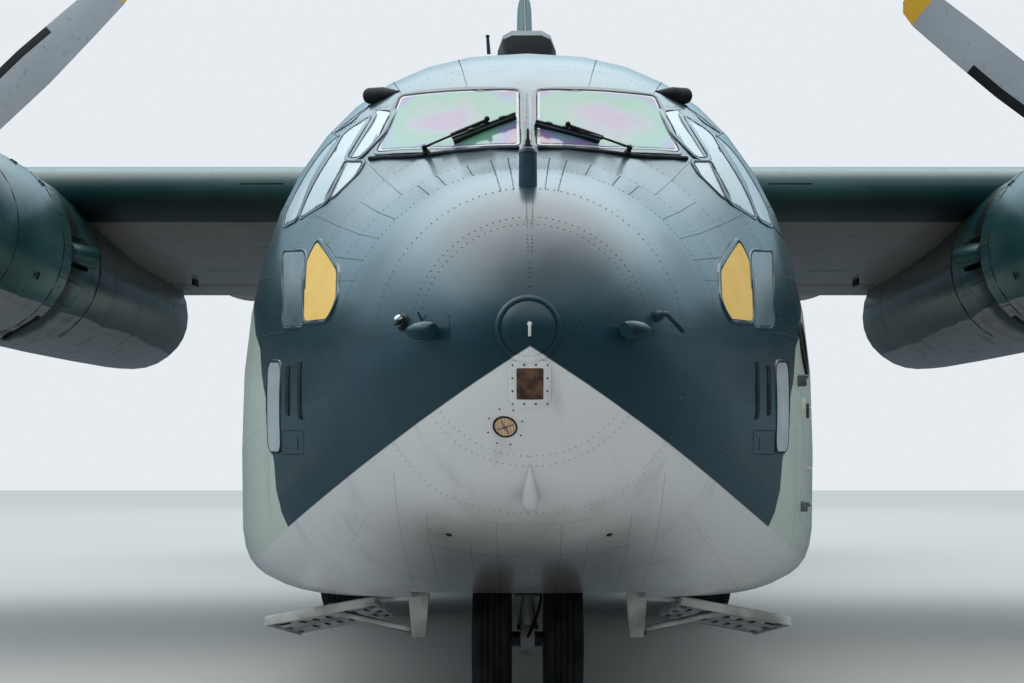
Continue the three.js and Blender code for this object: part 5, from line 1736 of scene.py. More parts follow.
RIVET_RINGS = [
    # station, pitch
    (0.236, 0.026), (0.276, 0.026), (0.515, 0.028), (0.93, 0.024), (1.3, 0.032), (1.7, 0.034),
    (2.05, 0.036), (2.09, 0.036), (2.55, 0.036), (3.05, 0.036), (3.55, 0.036), (3.59, 0.036),
]
RIVET_LINES = [
    # angle above the level, from station, to station, pitch
    (88.6, 0.03, 0.50, 0.022), (91.4, 0.03, 0.50, 0.022), (0.5, 0.05, 0.70, 0.024), (4.0, 0.26, 0.70, 0.024),
    (57, 0.94, 1.3, 0.026), (63, 0.94, 1.3, 0.026), (72, 0.94, 1.3, 0.026), (79, 0.52, 1.3, 0.026),
    (84, 0.52, 1.3, 0.026), (-28, 0.94, 3.8, 0.04), (28, 0.94, 1.7, 0.03), (44, 0.94, 1.7, 0.03),
    (-12, 0.94, 3.8, 0.036), (8, 0.94, 3.8, 0.036), (21, 0.94, 3.8, 0.036), (36, 0.94, 3.8, 0.036),
    (-46, 0.94, 3.8, 0.04), (52, 1.3, 3.8, 0.036), (66, 2.1, 3.8, 0.036), (78, 2.1, 3.8, 0.036),
]
RING_STEP = 3
LINE_STEP = 0.05
bm = bmesh.new()
total = 0
for station, pitch in RIVET_RINGS:
    row = bmesh.new()
    total += rivet_row(row, skin_line([(station, angle) for angle in range(-90, 271, RING_STEP)]), pitch)
    join(bm, row)
for angle, start, end, pitch in RIVET_LINES:
    steps = int((end - start) / LINE_STEP) + 1
    stations = [start + (end - start) * i / steps for i in range(steps + 1)]
    mirrored_angles = {angle, 180 - angle} if abs(angle - 90) > 2 else {angle}
    for turned in mirrored_angles:
        row = bmesh.new()
        total += rivet_row(row, skin_line([(station, turned) for station in stations]), pitch)
        join(bm, row)
new_piece("nose_rivets", bm, "airframe", rivet_paint, 30, recalculate=False)
print(total, "rivets")

# %% [markdown]
# ## Engines and propellers
#
# Each cowl ends in a ring of cooling flaps, shown closed. Behind it a stubby exhaust pipe
# leaves a sooty recess on either side of the nacelle. What doesn't turn is built for the left
# engine and mirrored to the right one; round_engine() finds a place on the nacelle by its angle.

# %% Places on the left nacelle
engine_tree = tree_of("cowl_left", "nacelle_left")
INBOARD = 180


def round_engine(station, angle, lift=0.0):
    """The nacelle's skin at an angle in degrees, 0 outboard and 90 up, and its outward direction."""
    centre = at(ENGINE.x, station, ENGINE.z)
    outward = spoke(math.radians(angle))
    place, normal = on_skin(engine_tree, centre + outward * 1.5, -outward)
    return place + normal * lift, normal


def engine_hoop(bm, station, radius, start=0, end=360, slot=0):
    """A thin rib round the nacelle."""
    angles = [start + (end - start) * i / 48 for i in range(49)]
    add_pipe(bm, [round_engine(station, angle, radius * 0.2)[0] for angle in angles], radius, slot, 2, 2)


print("The nacelle is", round(round_engine(6.3, 0)[0].x - ENGINE.x, 3), "m round its axis")

# %% [markdown]
# Dark gaps divide the ring of cowl flaps, and each flap has two small hinges.
# Latches hold the cowl's sheets together.

# %% Cowl flaps, latches and bands
FLAP_PARTS = [
    # angle past the gap, width, slot: the gap and two hinges
    (0, 0.006, 1), (6, 0.012, 0), (14, 0.012, 0),
]
FLAP_COUNT = 18
COWL_FLAP_START = 5.80
COWL_END = 6.008
LATCHES = [(5.5, 127), (5.75, 140), (5.5, 53), (5.75, 40), (5.3, 100), (5.3, 80), (5.4, 205), (5.4, -25)]
bm = bmesh.new()
engine_hoop(bm, COWL_FLAP_START, 0.005, slot=1)
engine_hoop(bm, 5.02, 0.004, slot=1)
engine_hoop(bm, 6.78, 0.006, -60, 240, slot=1)
for i in range(FLAP_COUNT):
    for turn, width, slot in FLAP_PARTS:
        spot = round_engine((COWL_FLAP_START + COWL_END) / 2, 360 * i / FLAP_COUNT + turn)
        length = COWL_END - COWL_FLAP_START if slot else 0.05
        add_plate(bm, spot, (width, length, 0.008), 0.001, slot, BACK)
for station, angle in LATCHES:
    seat = frame_at(*round_engine(station, angle), BACK)
    add_box(bm, seat, (0.05, 0.10, 0.008), 0.003, 0)
    add_box(bm, seat @ Matrix.Translation((0, 0, 0.007)), (0.014, 0.085, 0.010), 0.003, 1)
    add_box(bm, seat @ Matrix.Translation((0, 0.02, 0.010)), (0.06, 0.012, 0.010), 0.003, 1)
add_mirrored(bm)
new_piece("cowl_fittings", bm, "airframe", [engine_paint, finish["black_paint"]])
print(FLAP_COUNT, "cowl flaps and", len(LATCHES), "latches on each engine")

# %% [markdown]
# Each exhaust is a short open pipe with a rounded lip. A black disc down its bore stands for
# the sooty, shaded depth of the pipe: painted shade and soot. Boxed inlets, hatches and thin
# drain pipes lie round the cowl and the nacelle.

# %% Exhausts, drains and inlets
EXHAUST_RADIUS = 0.088
EXHAUST_WALL = 0.012
EXHAUST_ROOT = (0.60, 6.06)
EXHAUST_MOUTH = (0.80, 6.36)
DRAINS = [
    # angle, station, reach
    (-84, 5.6, 0.10), (-96, 5.7, 0.08), (-90, 6.3, 0.12), (-75, 6.5, 0.07),
]
bm = bmesh.new()
for side in SIDES:
    root = at(ENGINE.x + side * EXHAUST_ROOT[0], EXHAUST_ROOT[1], ENGINE.z)
    mouth = at(ENGINE.x + side * EXHAUST_MOUTH[0], EXHAUST_MOUTH[1], ENGINE.z - 0.01)
    length = (mouth - root).length
    bore = EXHAUST_RADIUS - EXHAUST_WALL
    pipe = [
        (EXHAUST_RADIUS, 0.0), (EXHAUST_RADIUS, length - 0.04), (EXHAUST_RADIUS - 0.006, length - 0.01),
        (EXHAUST_RADIUS - 0.009, length), (bore, length - 0.008), (bore, length - 0.16),
    ]
    # The black disc is painted shade and soot for the depth of the bore
    disc = [(0.0, length - 0.15), (bore + 0.002, length - 0.15)]
    add_turned(bm, place_along(root, mouth), pipe, 0, 28)
    add_turned(bm, place_along(root, mouth), disc, 1, 28)
for angle in (INBOARD + 62, -62):
    add_plate(bm, round_engine(5.95, angle), (0.34, 0.10, 0.03), 0.012, 1, BACK)
for angle in (INBOARD + 28, -28):
    spot = round_engine(6.2, angle)
    add_plate(bm, spot, (0.22, 0.30, 0.005), 0.002, 1, BACK)
    add_plate(bm, spot, (0.20, 0.28, 0.012), 0.004, 0, BACK)
for angle, station, reach in DRAINS:
    place, normal = round_engine(station, angle)
    end = place + normal * reach + BACK * 0.05
    add_pipe(bm, [place - normal * 0.02, place + normal * reach * 0.6, end], 0.011, 2)
add_mirrored(bm)
new_piece("exhausts", bm, "airframe", [engine_paint, finish["black_paint"], finish["grey_metal"]])
print("Exhaust pipes are", EXHAUST_RADIUS * 2, "m wide")

# %% [markdown]
# Seen from ahead the engine shows two rows of nine finned cylinders. Thin plates round every
# front cylinder stand for the fins, two bright pushrod tubes run out to each head, and a
# harness of leads circles the crankcase. Each propeller's hub gets a ring and its blades two
# cuffs each; these turn with it.

# %% Cylinder fins, pushrods and ignition harness
CYLINDERS = 9
FRONT_ROW = 5.02
FIN_PLACES = [0.27 + 0.022 * i for i in range(14)]
bm = bmesh.new()
for i in range(CYLINDERS):
    turn = math.tau * i / CYLINDERS
    out = spoke(turn)
    side = Vector((-math.sin(turn), 0, math.cos(turn)))
    centre = at(ENGINE.x, FRONT_ROW, ENGINE.z)
    for reach in FIN_PLACES:
        add_bar(bm, centre + out * reach, centre + out * (reach + 0.007), 0.093, None, 0, 16)
    for shift in (-0.045, 0.045):
        foot = centre + out * 0.20 + side * shift * 0.5 - BACK * 0.12
        head = centre + out * 0.555 + side * shift - BACK * 0.075
        add_bar(bm, foot, head, 0.013, None, 1, 10)
        add_ball(bm, Matrix.Translation(head), (0.03, 0.03, 0.03), 0, 12)
    lead = [centre + out * 0.33 - BACK * 0.16, centre + out * 0.42 + side * 0.03 - BACK * 0.14]
    lead.append(centre + out * 0.47 + side * 0.02 - BACK * 0.09)
    add_pipe(bm, lead, 0.006, 2)
hoop = [centre - BACK * 0.16 + spoke(math.tau * i / 36) * 0.33 for i in range(37)]
add_pipe(bm, hoop, 0.016, 3)
add_mirrored(bm)
new_piece("cylinder_details", bm, "airframe", coats("engine_cast chrome black_rubber steel"))

CUFF = [(0.086, 0.0), (0.094, 0.004), (0.094, 0.022), (0.086, 0.026)]
HUB_RING = [(0.10, 0.0), (0.108, 0.004), (0.108, 0.012), (0.10, 0.016)]
for name, side in (("left", 1), ("right", -1)):
    bm = bmesh.new()
    hub = at(side * ENGINE.x, PROP_STATION, ENGINE.z)
    for i in range(3):
        out = spoke(math.radians(FIRST_BLADE[name] + 120 * i))
        for start in (0.19, 0.26):
            seat = place_along(hub + out * start, hub + out * (start + 1))
            add_turned(bm, seat, CUFF, 0, 28, closed=True)
    add_turned(bm, frame_at(hub + FORWARD * 0.10, FORWARD), HUB_RING, 0, 32, closed=True)
    new_piece(f"propeller_{name}_rings", bm, f"propeller_{name}", finish["steel"])
print(CYLINDERS * len(FIN_PLACES), "fins on each engine")

# %% [markdown]
# ## Wheels
#
# A tyre is a turned profile with grooves round its tread; the wheel inside it is a dished
# disc with a rim, bolt heads and a hub cap. Wheels take the place of the CAD ones and ride
# the same bodies, so they turn with them.

# %% Tyre and wheel shapes
SIDEWALL = [
    # height from the tyre's middle as a share of half the width, radius as a share of the whole
    (0.62, 0.565), (0.80, 0.60), (0.93, 0.68), (1.0, 0.77), (0.98, 0.86), (0.90, 0.93),
    (0.78, 0.972), (0.66, 0.988),
]
RIM = [
    # radius as a share of the tyre's, height from its middle as a share of half the width
    (0.0, 0.30), (0.16, 0.30), (0.19, 0.34), (0.30, 0.36), (0.40, 0.50), (0.50, 0.62), (0.545, 0.70),
    (0.59, 0.72), (0.595, 0.62), (0.56, 0.55), (0.56, -0.55), (0.595, -0.62), (0.59, -0.72),
    (0.545, -0.70), (0.50, -0.5), (0.30, -0.34), (0.0, -0.30),
]
HUB_CAP = [(0.0, 0.56), (0.06, 0.55), (0.11, 0.50), (0.13, 0.42), (0.13, 0.28), (0.0, 0.28)]
LIGHTENING_HOLES = 8
GROOVES = (0.46, 0.16)
GROOVE_HALF = 0.035
GROOVE_DEPTH = 0.024


def tread_rows():
    """The tread from one shoulder to the middle, with its grooves, as (share across, radius)."""
    rows = []
    for groove in GROOVES:
        for shift, depth in ((1, 0), (0.8, 1), (-0.8, 1), (-1, 0)):
            across = groove + shift * GROOVE_HALF
            crown = 1.0 - 0.012 * across * across
            rows.append((across, crown - depth * GROOVE_DEPTH))
    return rows


def add_wheel(bm, centre, radius, width, facing, bolts=10):
    """A tyre and a wheel about an axle along X; facing is the side that the hub cap shows on."""
    half = width / 2
    seat = frame_at(centre, ACROSS * facing)
    one_side = SIDEWALL + tread_rows()
    profile = [(r * radius, share * half) for share, r in one_side]
    profile += [(r * radius, -share * half) for share, r in reversed(one_side)]
    add_turned(bm, seat, profile, 0, 72, closed=True)
    for shape, slot, segments in ((RIM, 1, 48), (HUB_CAP, 2, 32)):
        add_turned(bm, seat, [(r * radius, share * half) for r, share in shape], slot, segments)
    for i in range(bolts):
        turn = math.tau * i / bolts
        spot = seat @ Vector((math.cos(turn) * radius * 0.235, math.sin(turn) * radius * 0.235, half * 0.33))
        add_bar(bm, spot, spot + ACROSS * facing * 0.02, 0.013, 0.012, 2, 6)
    for i in range(LIGHTENING_HOLES):
        turn = math.tau * (i + 0.5) / LIGHTENING_HOLES
        spot = seat @ Vector((math.cos(turn) * radius * 0.38, math.sin(turn) * radius * 0.38, half * 0.42))
        add_bar(bm, spot, spot + ACROSS * facing * 0.012, radius * 0.05, None, 3, 16)
    valve = seat @ Vector((radius * 0.49, 0, half * 0.56))
    add_bar(bm, valve, valve + ACROSS * facing * 0.035, 0.006, 0.004, 2, 8)


WHEEL_FINISHES = coats("tyre_rubber white_metal steel black_paint")
print("A tyre profile has", 2 * len(SIDEWALL + tread_rows()), "points")

# %% [markdown]
# Four main wheels turn on axles of their own, and the two nose wheels share one axle, so
# they are one piece. All stand two millimetres clear of the ground.

# %% All six wheels
MAIN_RADIUS = 0.557
MAIN_WIDTH = 0.356
MAIN_X = 1.84
NOSE_RADIUS = 0.418
NOSE_WIDTH = 0.218
NOSE_X = 0.2
NOSE_STATION = 2.8
CLEARANCE = 0.002
for side, name in ((1, "left"), (-1, "right")):
    for end, station in (("front", 8.68), ("rear", 9.99)):
        bm = bmesh.new()
        add_wheel(bm, at(side * MAIN_X, station, MAIN_RADIUS + CLEARANCE), MAIN_RADIUS, MAIN_WIDTH, side)
        body = f"main_wheel_{name}_{end}"
        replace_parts(new_piece(body + "_tyre", bm, body, WHEEL_FINISHES, 35), body)
bm = bmesh.new()
middle = at(0, NOSE_STATION, NOSE_RADIUS + CLEARANCE)
for side in SIDES:
    add_wheel(bm, middle + ACROSS * side * NOSE_X, NOSE_RADIUS, NOSE_WIDTH, side, 8)
add_bar(bm, middle - ACROSS * NOSE_X, middle + ACROSS * NOSE_X, 0.044, None, 2, 24)
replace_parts(new_piece("nose_tyres", bm, "nose_wheels", WHEEL_FINISHES, 35), "nose_wheels")
print("Six wheels are on")

# %% [markdown]
# ## Landing gear
#
# The CAD legs get their smaller parts: torque links, steering jacks, hoses, brake drums and
# gland rings. The doors of the nose bay get their slots, brackets and lipped edges.

# %% Nose leg
NOSE_AXLE = at(0, 2.8, 0.42)
KNEE = NOSE_AXLE + Vector((0, 0.24, 0.20))
NOSE_HOSE = [(0.06, -0.05, 0.48), (0.09, -0.09, 0.3), (0.05, -0.085, 0.12), (0.0, -0.09, 0.02)]
bm = bmesh.new()
gland = [(0.078, 0.0), (0.092, 0.004), (0.092, 0.03), (0.078, 0.034)]
add_turned(bm, Matrix.Translation(NOSE_AXLE + UP * 0.26), gland, 1, 32, closed=True)
for side in SIDES:
    knee = NOSE_AXLE + Vector((side * 0.02, 0.24, 0.20))
    for end in ((side * 0.045, 0.07, 0.06), (side * 0.045, 0.075, 0.33)):
        add_bar(bm, NOSE_AXLE + Vector(end), knee, 0.018, 0.013, 0, 12)
add_bar(bm, KNEE - ACROSS * 0.035, KNEE + ACROSS * 0.035, 0.014, None, 1, 12)
for height in (0.06, 0.33):
    pin = NOSE_AXLE + Vector((0, 0.072, height))
    add_bar(bm, pin - ACROSS * 0.062, pin + ACROSS * 0.062, 0.016, None, 1, 12)
add_pipe(bm, [NOSE_AXLE + Vector(offset) for offset in NOSE_HOSE], 0.008, 2)
new_piece("nose_torque_links", bm, "nose_fork", coats("white_metal steel black_rubber"))

bm = bmesh.new()
for side in SIDES:
    cylinder = [at(side * 0.13, 2.74, 0.98), at(side * 0.13, 2.96, 0.96)]
    add_bar(bm, *cylinder, 0.035, None, 0, 20, 0.006)
    add_bar(bm, cylinder[1], at(side * 0.10, 3.1, 0.955), 0.014, None, 1, 12)
    line = [at(side * 0.30, 2.80, 1.03), at(side * 0.25, 2.70, 0.93), at(side * 0.12, 2.68, 0.95)]
    add_pipe(bm, line, 0.007, 1)
new_piece("nose_steering_jacks", bm, "airframe", coats("white_metal steel"))
print("Nose leg dressed")

# %% [markdown]
# Each main axle gets a brake drum, a nut, a hose and a rod that runs to the leg.

# %% Main legs
AXLES = [8.68, 9.99]
LEG_STATION = sum(AXLES) / 2
bm = bmesh.new()
for axle in AXLES:
    drum = [(0.06, 0.0), (0.20, 0.0), (0.21, 0.012), (0.21, 0.045), (0.16, 0.052), (0.06, 0.052)]
    add_turned(bm, frame_at(at(1.652, axle, 0.56), ACROSS), drum, 0, 40, closed=True)
    nut = at(1.945, axle, 0.56)
    add_bar(bm, nut, nut + ACROSS * 0.03, 0.045, 0.04, 1, 6)
    inward = 1 if axle == AXLES[0] else -1
    hose = [
        (1.66, axle + inward * 0.1, 0.62), (1.60, axle + inward * 0.3, 0.70),
        (1.66, LEG_STATION - inward * 0.08, 0.86),
    ]
    add_pipe(bm, [at(*place) for place in hose], 0.010, 2)
    rod = [at(1.58, axle, 0.66), at(1.68, LEG_STATION - inward * 0.06, 0.93)]
    add_bar(bm, *rod, 0.018, None, 1, 12)
ring = [(0.078, 0.0), (0.094, 0.005), (0.094, 0.035), (0.078, 0.04)]
add_turned(bm, Matrix.Translation(at(1.74, LEG_STATION, 0.93)), ring, 1, 28, closed=True)
add_mirrored(bm)
new_piece("main_leg_fittings", bm, "airframe", coats("engine_cast steel black_rubber"))
print("Main legs dressed")

# %% [markdown]
# The open doors of the nose bay hang outwards on posts. on_door() finds a place on the left
# one's underside, where the lightening slots and brackets go.

# %% Doors of the nose bay
DOOR_INNER = (0.82, 0.70)
DOOR_OUTER = (1.41, 0.59)
DOOR_DROP = 0.157
DOOR_FRONT = 2.3
DOOR_THICK = 0.031


def on_door(share, station, lift=0.0):
    """A place on the underside of the left nose-bay door; share runs from its inner edge out."""
    x = DOOR_INNER[0] + (DOOR_OUTER[0] - DOOR_INNER[0]) * share
    z = DOOR_INNER[1] + (DOOR_OUTER[1] - DOOR_INNER[1]) * share
    return at(x, station, z - (station - DOOR_FRONT) * DOOR_DROP - DOOR_THICK - lift)


DOOR_DOWN = Vector((-0.18, -0.15, -0.97)).normalized()
SLOT_SHARES = (0.14, 0.26, 0.38, 0.50, 0.62, 0.74)
POST_X = 0.59
POST_STATION = 2.39
bm = bmesh.new()
lip = [on_door(share, 2.31, -0.016) for share in (0.0, 1.0)]
lip_length = (lip[1] - lip[0]).length
lip_box = place_along(*lip) @ Matrix.Translation((0, 0, lip_length / 2))
add_box(bm, lip_box, (0.05, 0.05, lip_length), 0.010, 0)
for share in (1.0, 0.0):
    add_pipe(bm, [on_door(share, station) for station in (2.3, 2.8, 3.44)], 0.010, 0)
for share in SLOT_SHARES:
    for station in (2.62, 3.08):
        add_plate(bm, (on_door(share, station), DOOR_DOWN), (0.018, 0.15, 0.012), 0.004, 1, BACK)
add_plate(bm, (on_door(0.88, 2.52), DOOR_DOWN), (0.055, 0.05, 0.012), 0.004, 1, BACK)
for share in (0.06, 0.94):
    for station in (2.45, 2.85, 3.25):
        add_plate(bm, (on_door(share, station), DOOR_DOWN), (0.03, 0.06, 0.020), 0.004, 2, BACK)
post = bmesh.new()
bmesh.ops.create_cone(
    post, cap_ends=True, segments=4, radius1=0.052, radius2=0.082, depth=0.28,
    matrix=Matrix.Rotation(math.radians(45), 4, "Z"),
)
join(bm, post, Matrix.Translation(at(POST_X, POST_STATION, 0.62)), 0)
add_bar(bm, at(0.55, POST_STATION, 0.505), at(0.645, POST_STATION, 0.505), 0.017, None, 2, 14, 0.003)
add_bar(bm, at(0.60, 2.44, 0.50), at(1.07, 2.47, 0.615), 0.019, 0.016, 2, 14, 0.003)
add_box(bm, Matrix.Translation(at(1.07, 2.46, 0.63)), (0.06, 0.05, 0.05), 0.008, 2)
add_mirrored(bm)
new_piece("nose_bay_fittings", bm, "airframe", coats("white_metal black_paint grey_metal"))
print("Nose bay doors dressed")

# %% [markdown]
# ## Fuselage, wings and tail
#
# Doors get handles, hinges and rims, portholes get rings, and the wings get lights, stall
# strips, flap brackets, fuel caps and static wicks. Each kind comes from a short table of
# places on the left half and is mirrored to the right.

# %% Crew door and its surroundings
body_tree = tree_of("fuselage_shell", "cockpit_shell", "crew_door", "troop_door_left", "rear_fuselage_shell")
SIDE_BOXES = [
    # station, Z, size along, up and out
    (2.284, 1.862, 0.03, 0.06, 0.05), (2.338, 1.186, 0.025, 0.05, 0.04),
]
DOOR_WINDOW = (2.60, 2.06)
RIM_THICK = 0.011
PANE_INSET = 0.005
PANE_HALF = 0.004


def beside(station, z, lift=0.0):
    """The skin on the aeroplane's left at a station and height, and its outward direction."""
    place, normal = on_skin(body_tree, at(4, station, z), -ACROSS)
    return place + normal * lift, normal


def add_door_window(bm, station, z, along, tall, slots):
    """An oval window in a door: a raised rim and a shallow pane, each in its own slot."""
    add_oval_rim(bm, station, z, along, tall, RIM_THICK, slots[0])
    oval = Matrix.Diagonal((along - PANE_INSET, tall - PANE_INSET, PANE_HALF, 1))
    disc = [(0.0, 1.0), (1.0, 1.0), (1.0, -1.0), (0.0, -1.0)]
    add_turned(bm, frame_at(*beside(station, z)) @ oval, disc, slots[1], 32)


def add_handle(bm, spot, low, high, lift, radius, slot, bevel=0.0):
    """A round bar held off the skin between two offsets from a spot."""
    middle = spot[0] + spot[1] * lift
    add_bar(bm, middle + low, middle + high, radius, None, slot, 12, bevel)


def add_oval_rim(bm, station, z, along, tall, thick, slot=0):
    """A raised oval ring on the left side."""
    points = []
    for i in range(33):
        turn = math.tau * i / 32
        points.append(beside(station + along * math.cos(turn), z + tall * math.sin(turn), thick * 0.3)[0])
    add_pipe(bm, points, thick, slot, 2, 2)


bm = bmesh.new()
for station, z, along, tall, out in SIDE_BOXES:
    place, normal = beside(station, z)
    add_box(bm, frame_at(place + normal * out * 0.4, normal), (along, tall, out), 0.006, 0)
    add_bar(bm, place + UP * 0.02, place + normal * out * 1.1 + UP * 0.02, 0.012, 0.009, 0, 12, 0.002)
new_piece("side_boxes", bm, "airframe", finish["grey_metal"])

bm = bmesh.new()
add_door_window(bm, *DOOR_WINDOW, 0.12, 0.15, (0, 1))
spot = beside(2.44, 1.72)
add_plate(bm, spot, (0.09, 0.12, 0.006), 0.002, 2)
add_handle(bm, spot, UP * -0.05, UP * 0.03, 0.02, 0.009, 3, 0.003)
for z in (1.40, 1.75):
    for station in (2.62, 2.84):
        add_plate(bm, beside(station, z), (0.16, 0.018, 0.010), 0.003, 2)
new_piece("crew_door_fittings", bm, "crew_door", coats("black_rubber brown_glass cream_paint steel"))
print("Crew door dressed")

# %% [markdown]
# The hold has round portholes in rings with rivets, and a troop door on each side with
# hinges, a handle and an oval window. The right door's fittings are the left one's, mirrored.

# %% Portholes and troop doors
PORTHOLES = [4.75, 5.70, 7.50, 9.30, 11.0]
PORTHOLE_Z = 2.35
PORTHOLE_RADIUS = 0.158
RIVET_CIRCLE = 0.182
RIVETS_ROUND = 10
bm = bmesh.new()
for station in PORTHOLES:
    add_oval_rim(bm, station, PORTHOLE_Z, PORTHOLE_RADIUS, PORTHOLE_RADIUS, 0.012, 0)
    for i in range(RIVETS_ROUND):
        turn = math.tau * i / RIVETS_ROUND
        rise = RIVET_CIRCLE * math.sin(turn)
        place, normal = beside(station + RIVET_CIRCLE * math.cos(turn), PORTHOLE_Z + rise)
        add_bar(bm, place - normal * 0.001, place + normal * 0.003, 0.006, 0.004, 1, 6)
for station in (3.95, 8.0, 10.2, 12.95):
    add_plate(bm, beside(station, 1.30), (0.20, 0.14, 0.004), 0.0015, 0)
    add_plate(bm, beside(station, 1.30), (0.05, 0.02, 0.010), 0.003, 1)
add_mirrored(bm)
new_piece("porthole_rings", bm, "airframe", [fuselage_paint, finish["steel"]])

for name, side in (("left", 1), ("right", -1)):
    bm = bmesh.new()
    for z in (1.5, 2.1, 2.7):
        spot = beside(11.96, z)
        add_plate(bm, spot, (0.10, 0.06, 0.018), 0.005, 0)
        add_handle(bm, spot, UP * -0.035, UP * 0.035, 0.012, 0.011, 1)
    spot = beside(12.62, 2.05)
    add_plate(bm, spot, (0.16, 0.10, 0.008), 0.003, 2)
    add_handle(bm, spot, BACK * -0.05, BACK * 0.06, 0.022, 0.010, 1, 0.003)
    add_door_window(bm, 12.35, 2.45, 0.13, 0.16, (0, 3))
    if side < 0:
        bmesh.ops.scale(bm, vec=(-1, 1, 1), verts=bm.verts)
    finishes = [fuselage_paint, finish["steel"], finish["black_paint"], finish["brown_glass"]]
    new_piece(f"troop_door_{name}_fittings", bm, f"troop_door_{name}", finishes)
print(2 * len(PORTHOLES), "portholes ringed")

# %% [markdown]
# Places on the wing are found in plan, from above or from below. A stall strip is a straight
# bar between two places on the front edge, which rises outwards from the wing break.

# %% Wing places
wing_tree = tree_of("wing_centre", "wing_outer_left", "flap_inner_left", "flap_outer_left", "aileron_left")


def wing_spot(x, station, up=1):
    """The upper (1) or lower (-1) skin of the left wing over a place in plan."""
    return on_skin(wing_tree, at(x, station, 4.5 + 4 * up), -up * UP)


STALL_STRIPS = [(2.06, 2.43), (5.6, 6.2)]
FUEL_CAPS = [(3.1, 7.6), (6.4, 7.8), (8.6, 7.9)]
FUEL_CAP = [(0.0, 0.006), (0.05, 0.006), (0.062, 0.003), (0.072, 0.003), (0.075, -0.003)]
ACCESS_PANELS = [
    # X, station, size
    (1.2, 7.4, (0.5, 0.5)), (3.0, 8.6, (0.4, 0.3)), (7.0, 8.0, (0.45, 0.35)), (9.2, 8.1, (0.4, 0.3)),
    (12.0, 7.9, (0.35, 0.3)),
]
BRACKETS = [("flap", x) for x in (2.15, 3.45, 5.4, 7.6, 9.6)] + [("aileron", x) for x in (10.3, 12.8, 15.4)]
bm = bmesh.new()
for start, end in STALL_STRIPS:
    spots = []
    for x in (start, end):
        nose = at(x, 4.0, 3.86 + max(0.0, x - WING_BREAK) * DIHEDRAL)
        spots.append(on_skin(wing_tree, nose, BACK)[0] - BACK * 0.004)
    length = (spots[1] - spots[0]).length
    strip = place_along(*spots) @ Matrix.Translation((0, 0, length / 2))
    add_box(bm, strip, (0.007, 0.010, length), 0.002, 0)
for x, station in FUEL_CAPS:
    add_turned(bm, frame_at(*wing_spot(x, station), BACK), FUEL_CAP, 1, 32)
for kind, x in BRACKETS:
    outboard = max(0.0, x - WING_BREAK)
    chord_end = 9.35 - outboard * 0.07 if kind == "flap" else 9.3 - outboard * 0.055
    place, normal = wing_spot(x, chord_end - 0.2, -1)
    if place is not None:
        add_box(bm, frame_at(place + normal * 0.03, normal, BACK), (0.022, 0.22, 0.06), 0.008, 0)
for x, station, size in ACCESS_PANELS:
    add_plate(bm, wing_spot(x, station, -1), (*size, 0.002), 0.0008, 2, BACK)
add_mirrored(bm)
new_piece("wing_fittings", bm, "airframe", [finish["black_rubber"], finish["steel"], wing_paint])
print("Stall strips, fuel caps and brackets are on")

# %% [markdown]
# Each wing tip carries a lamp, red on the left and green on the right. A red beacon and three
# blade aerials stand on the roof, and a white lamp closes the tail.

# %% Lights and aerials
BLADE_AERIALS = [
    # station, rake, height
    (4.6, 0.10, 0.30), (9.2, 0.12, 0.34), (12.2, 0.10, 0.28),
]
ROOF_Z = 4.14
bm = bmesh.new()
tip, _ = on_skin(tree_of("wing_outer_left"), at(18, 7.6, 4.78), -ACROSS)
for side, slot in ((1, 1), (-1, 2)):
    lamp = Vector((side * (tip.x - 0.01), tip.y, tip.z))
    add_ball(bm, Matrix.Translation(lamp), (0.012, 0.07, 0.022), slot, 20)
    add_box(bm, Matrix.Translation(lamp - ACROSS * side * 0.006), (0.012, 0.17, 0.05), 0.004, 0)
beacon = Matrix.Translation(at(0, 12.9, ROOF_Z))
dome = [(0.0, 0.13), (0.03, 0.125), (0.055, 0.10), (0.062, 0.05), (0.062, 0.0)]
add_turned(bm, beacon, dome, 1, 28)
add_turned(bm, beacon, [(0.062, 0.0), (0.085, 0.0), (0.085, 0.025), (0.062, 0.03)], 0, 28)
for station, rake, tall in BLADE_AERIALS:
    blade = bmesh.new()
    bmesh.ops.create_cone(
        blade, cap_ends=True, segments=24, radius1=1.0, radius2=0.45, depth=1.0,
        matrix=Matrix.Translation((0, 0, 0.5)),
    )
    bmesh.ops.scale(blade, vec=(0.014, 0.10, tall), verts=blade.verts)
    for vert in blade.verts:
        vert.co.y += rake * vert.co.z / tall
    join(bm, blade, Matrix.Translation(at(0.0, station, ROOF_Z)), 3)
tail_lamp, _ = on_skin(tree_of("rear_fuselage_shell"), at(0, 25, 4.51), FORWARD)
add_ball(bm, Matrix.Translation(tail_lamp - BACK * 0.028), (0.022, 0.03, 0.022), 4, 16)
lamp_coats = coats("grey_metal red_lens green_lens black_paint white_metal")
new_piece("lights_and_aerials", bm, "airframe", lamp_coats)
print("The wing tip lamps stand at X", round(tip.x, 2))

# %% [markdown]
# Static wicks trail from the ailerons and elevators. The trailing edge is the rearmost skin
# that a fan of level lines from behind meets.

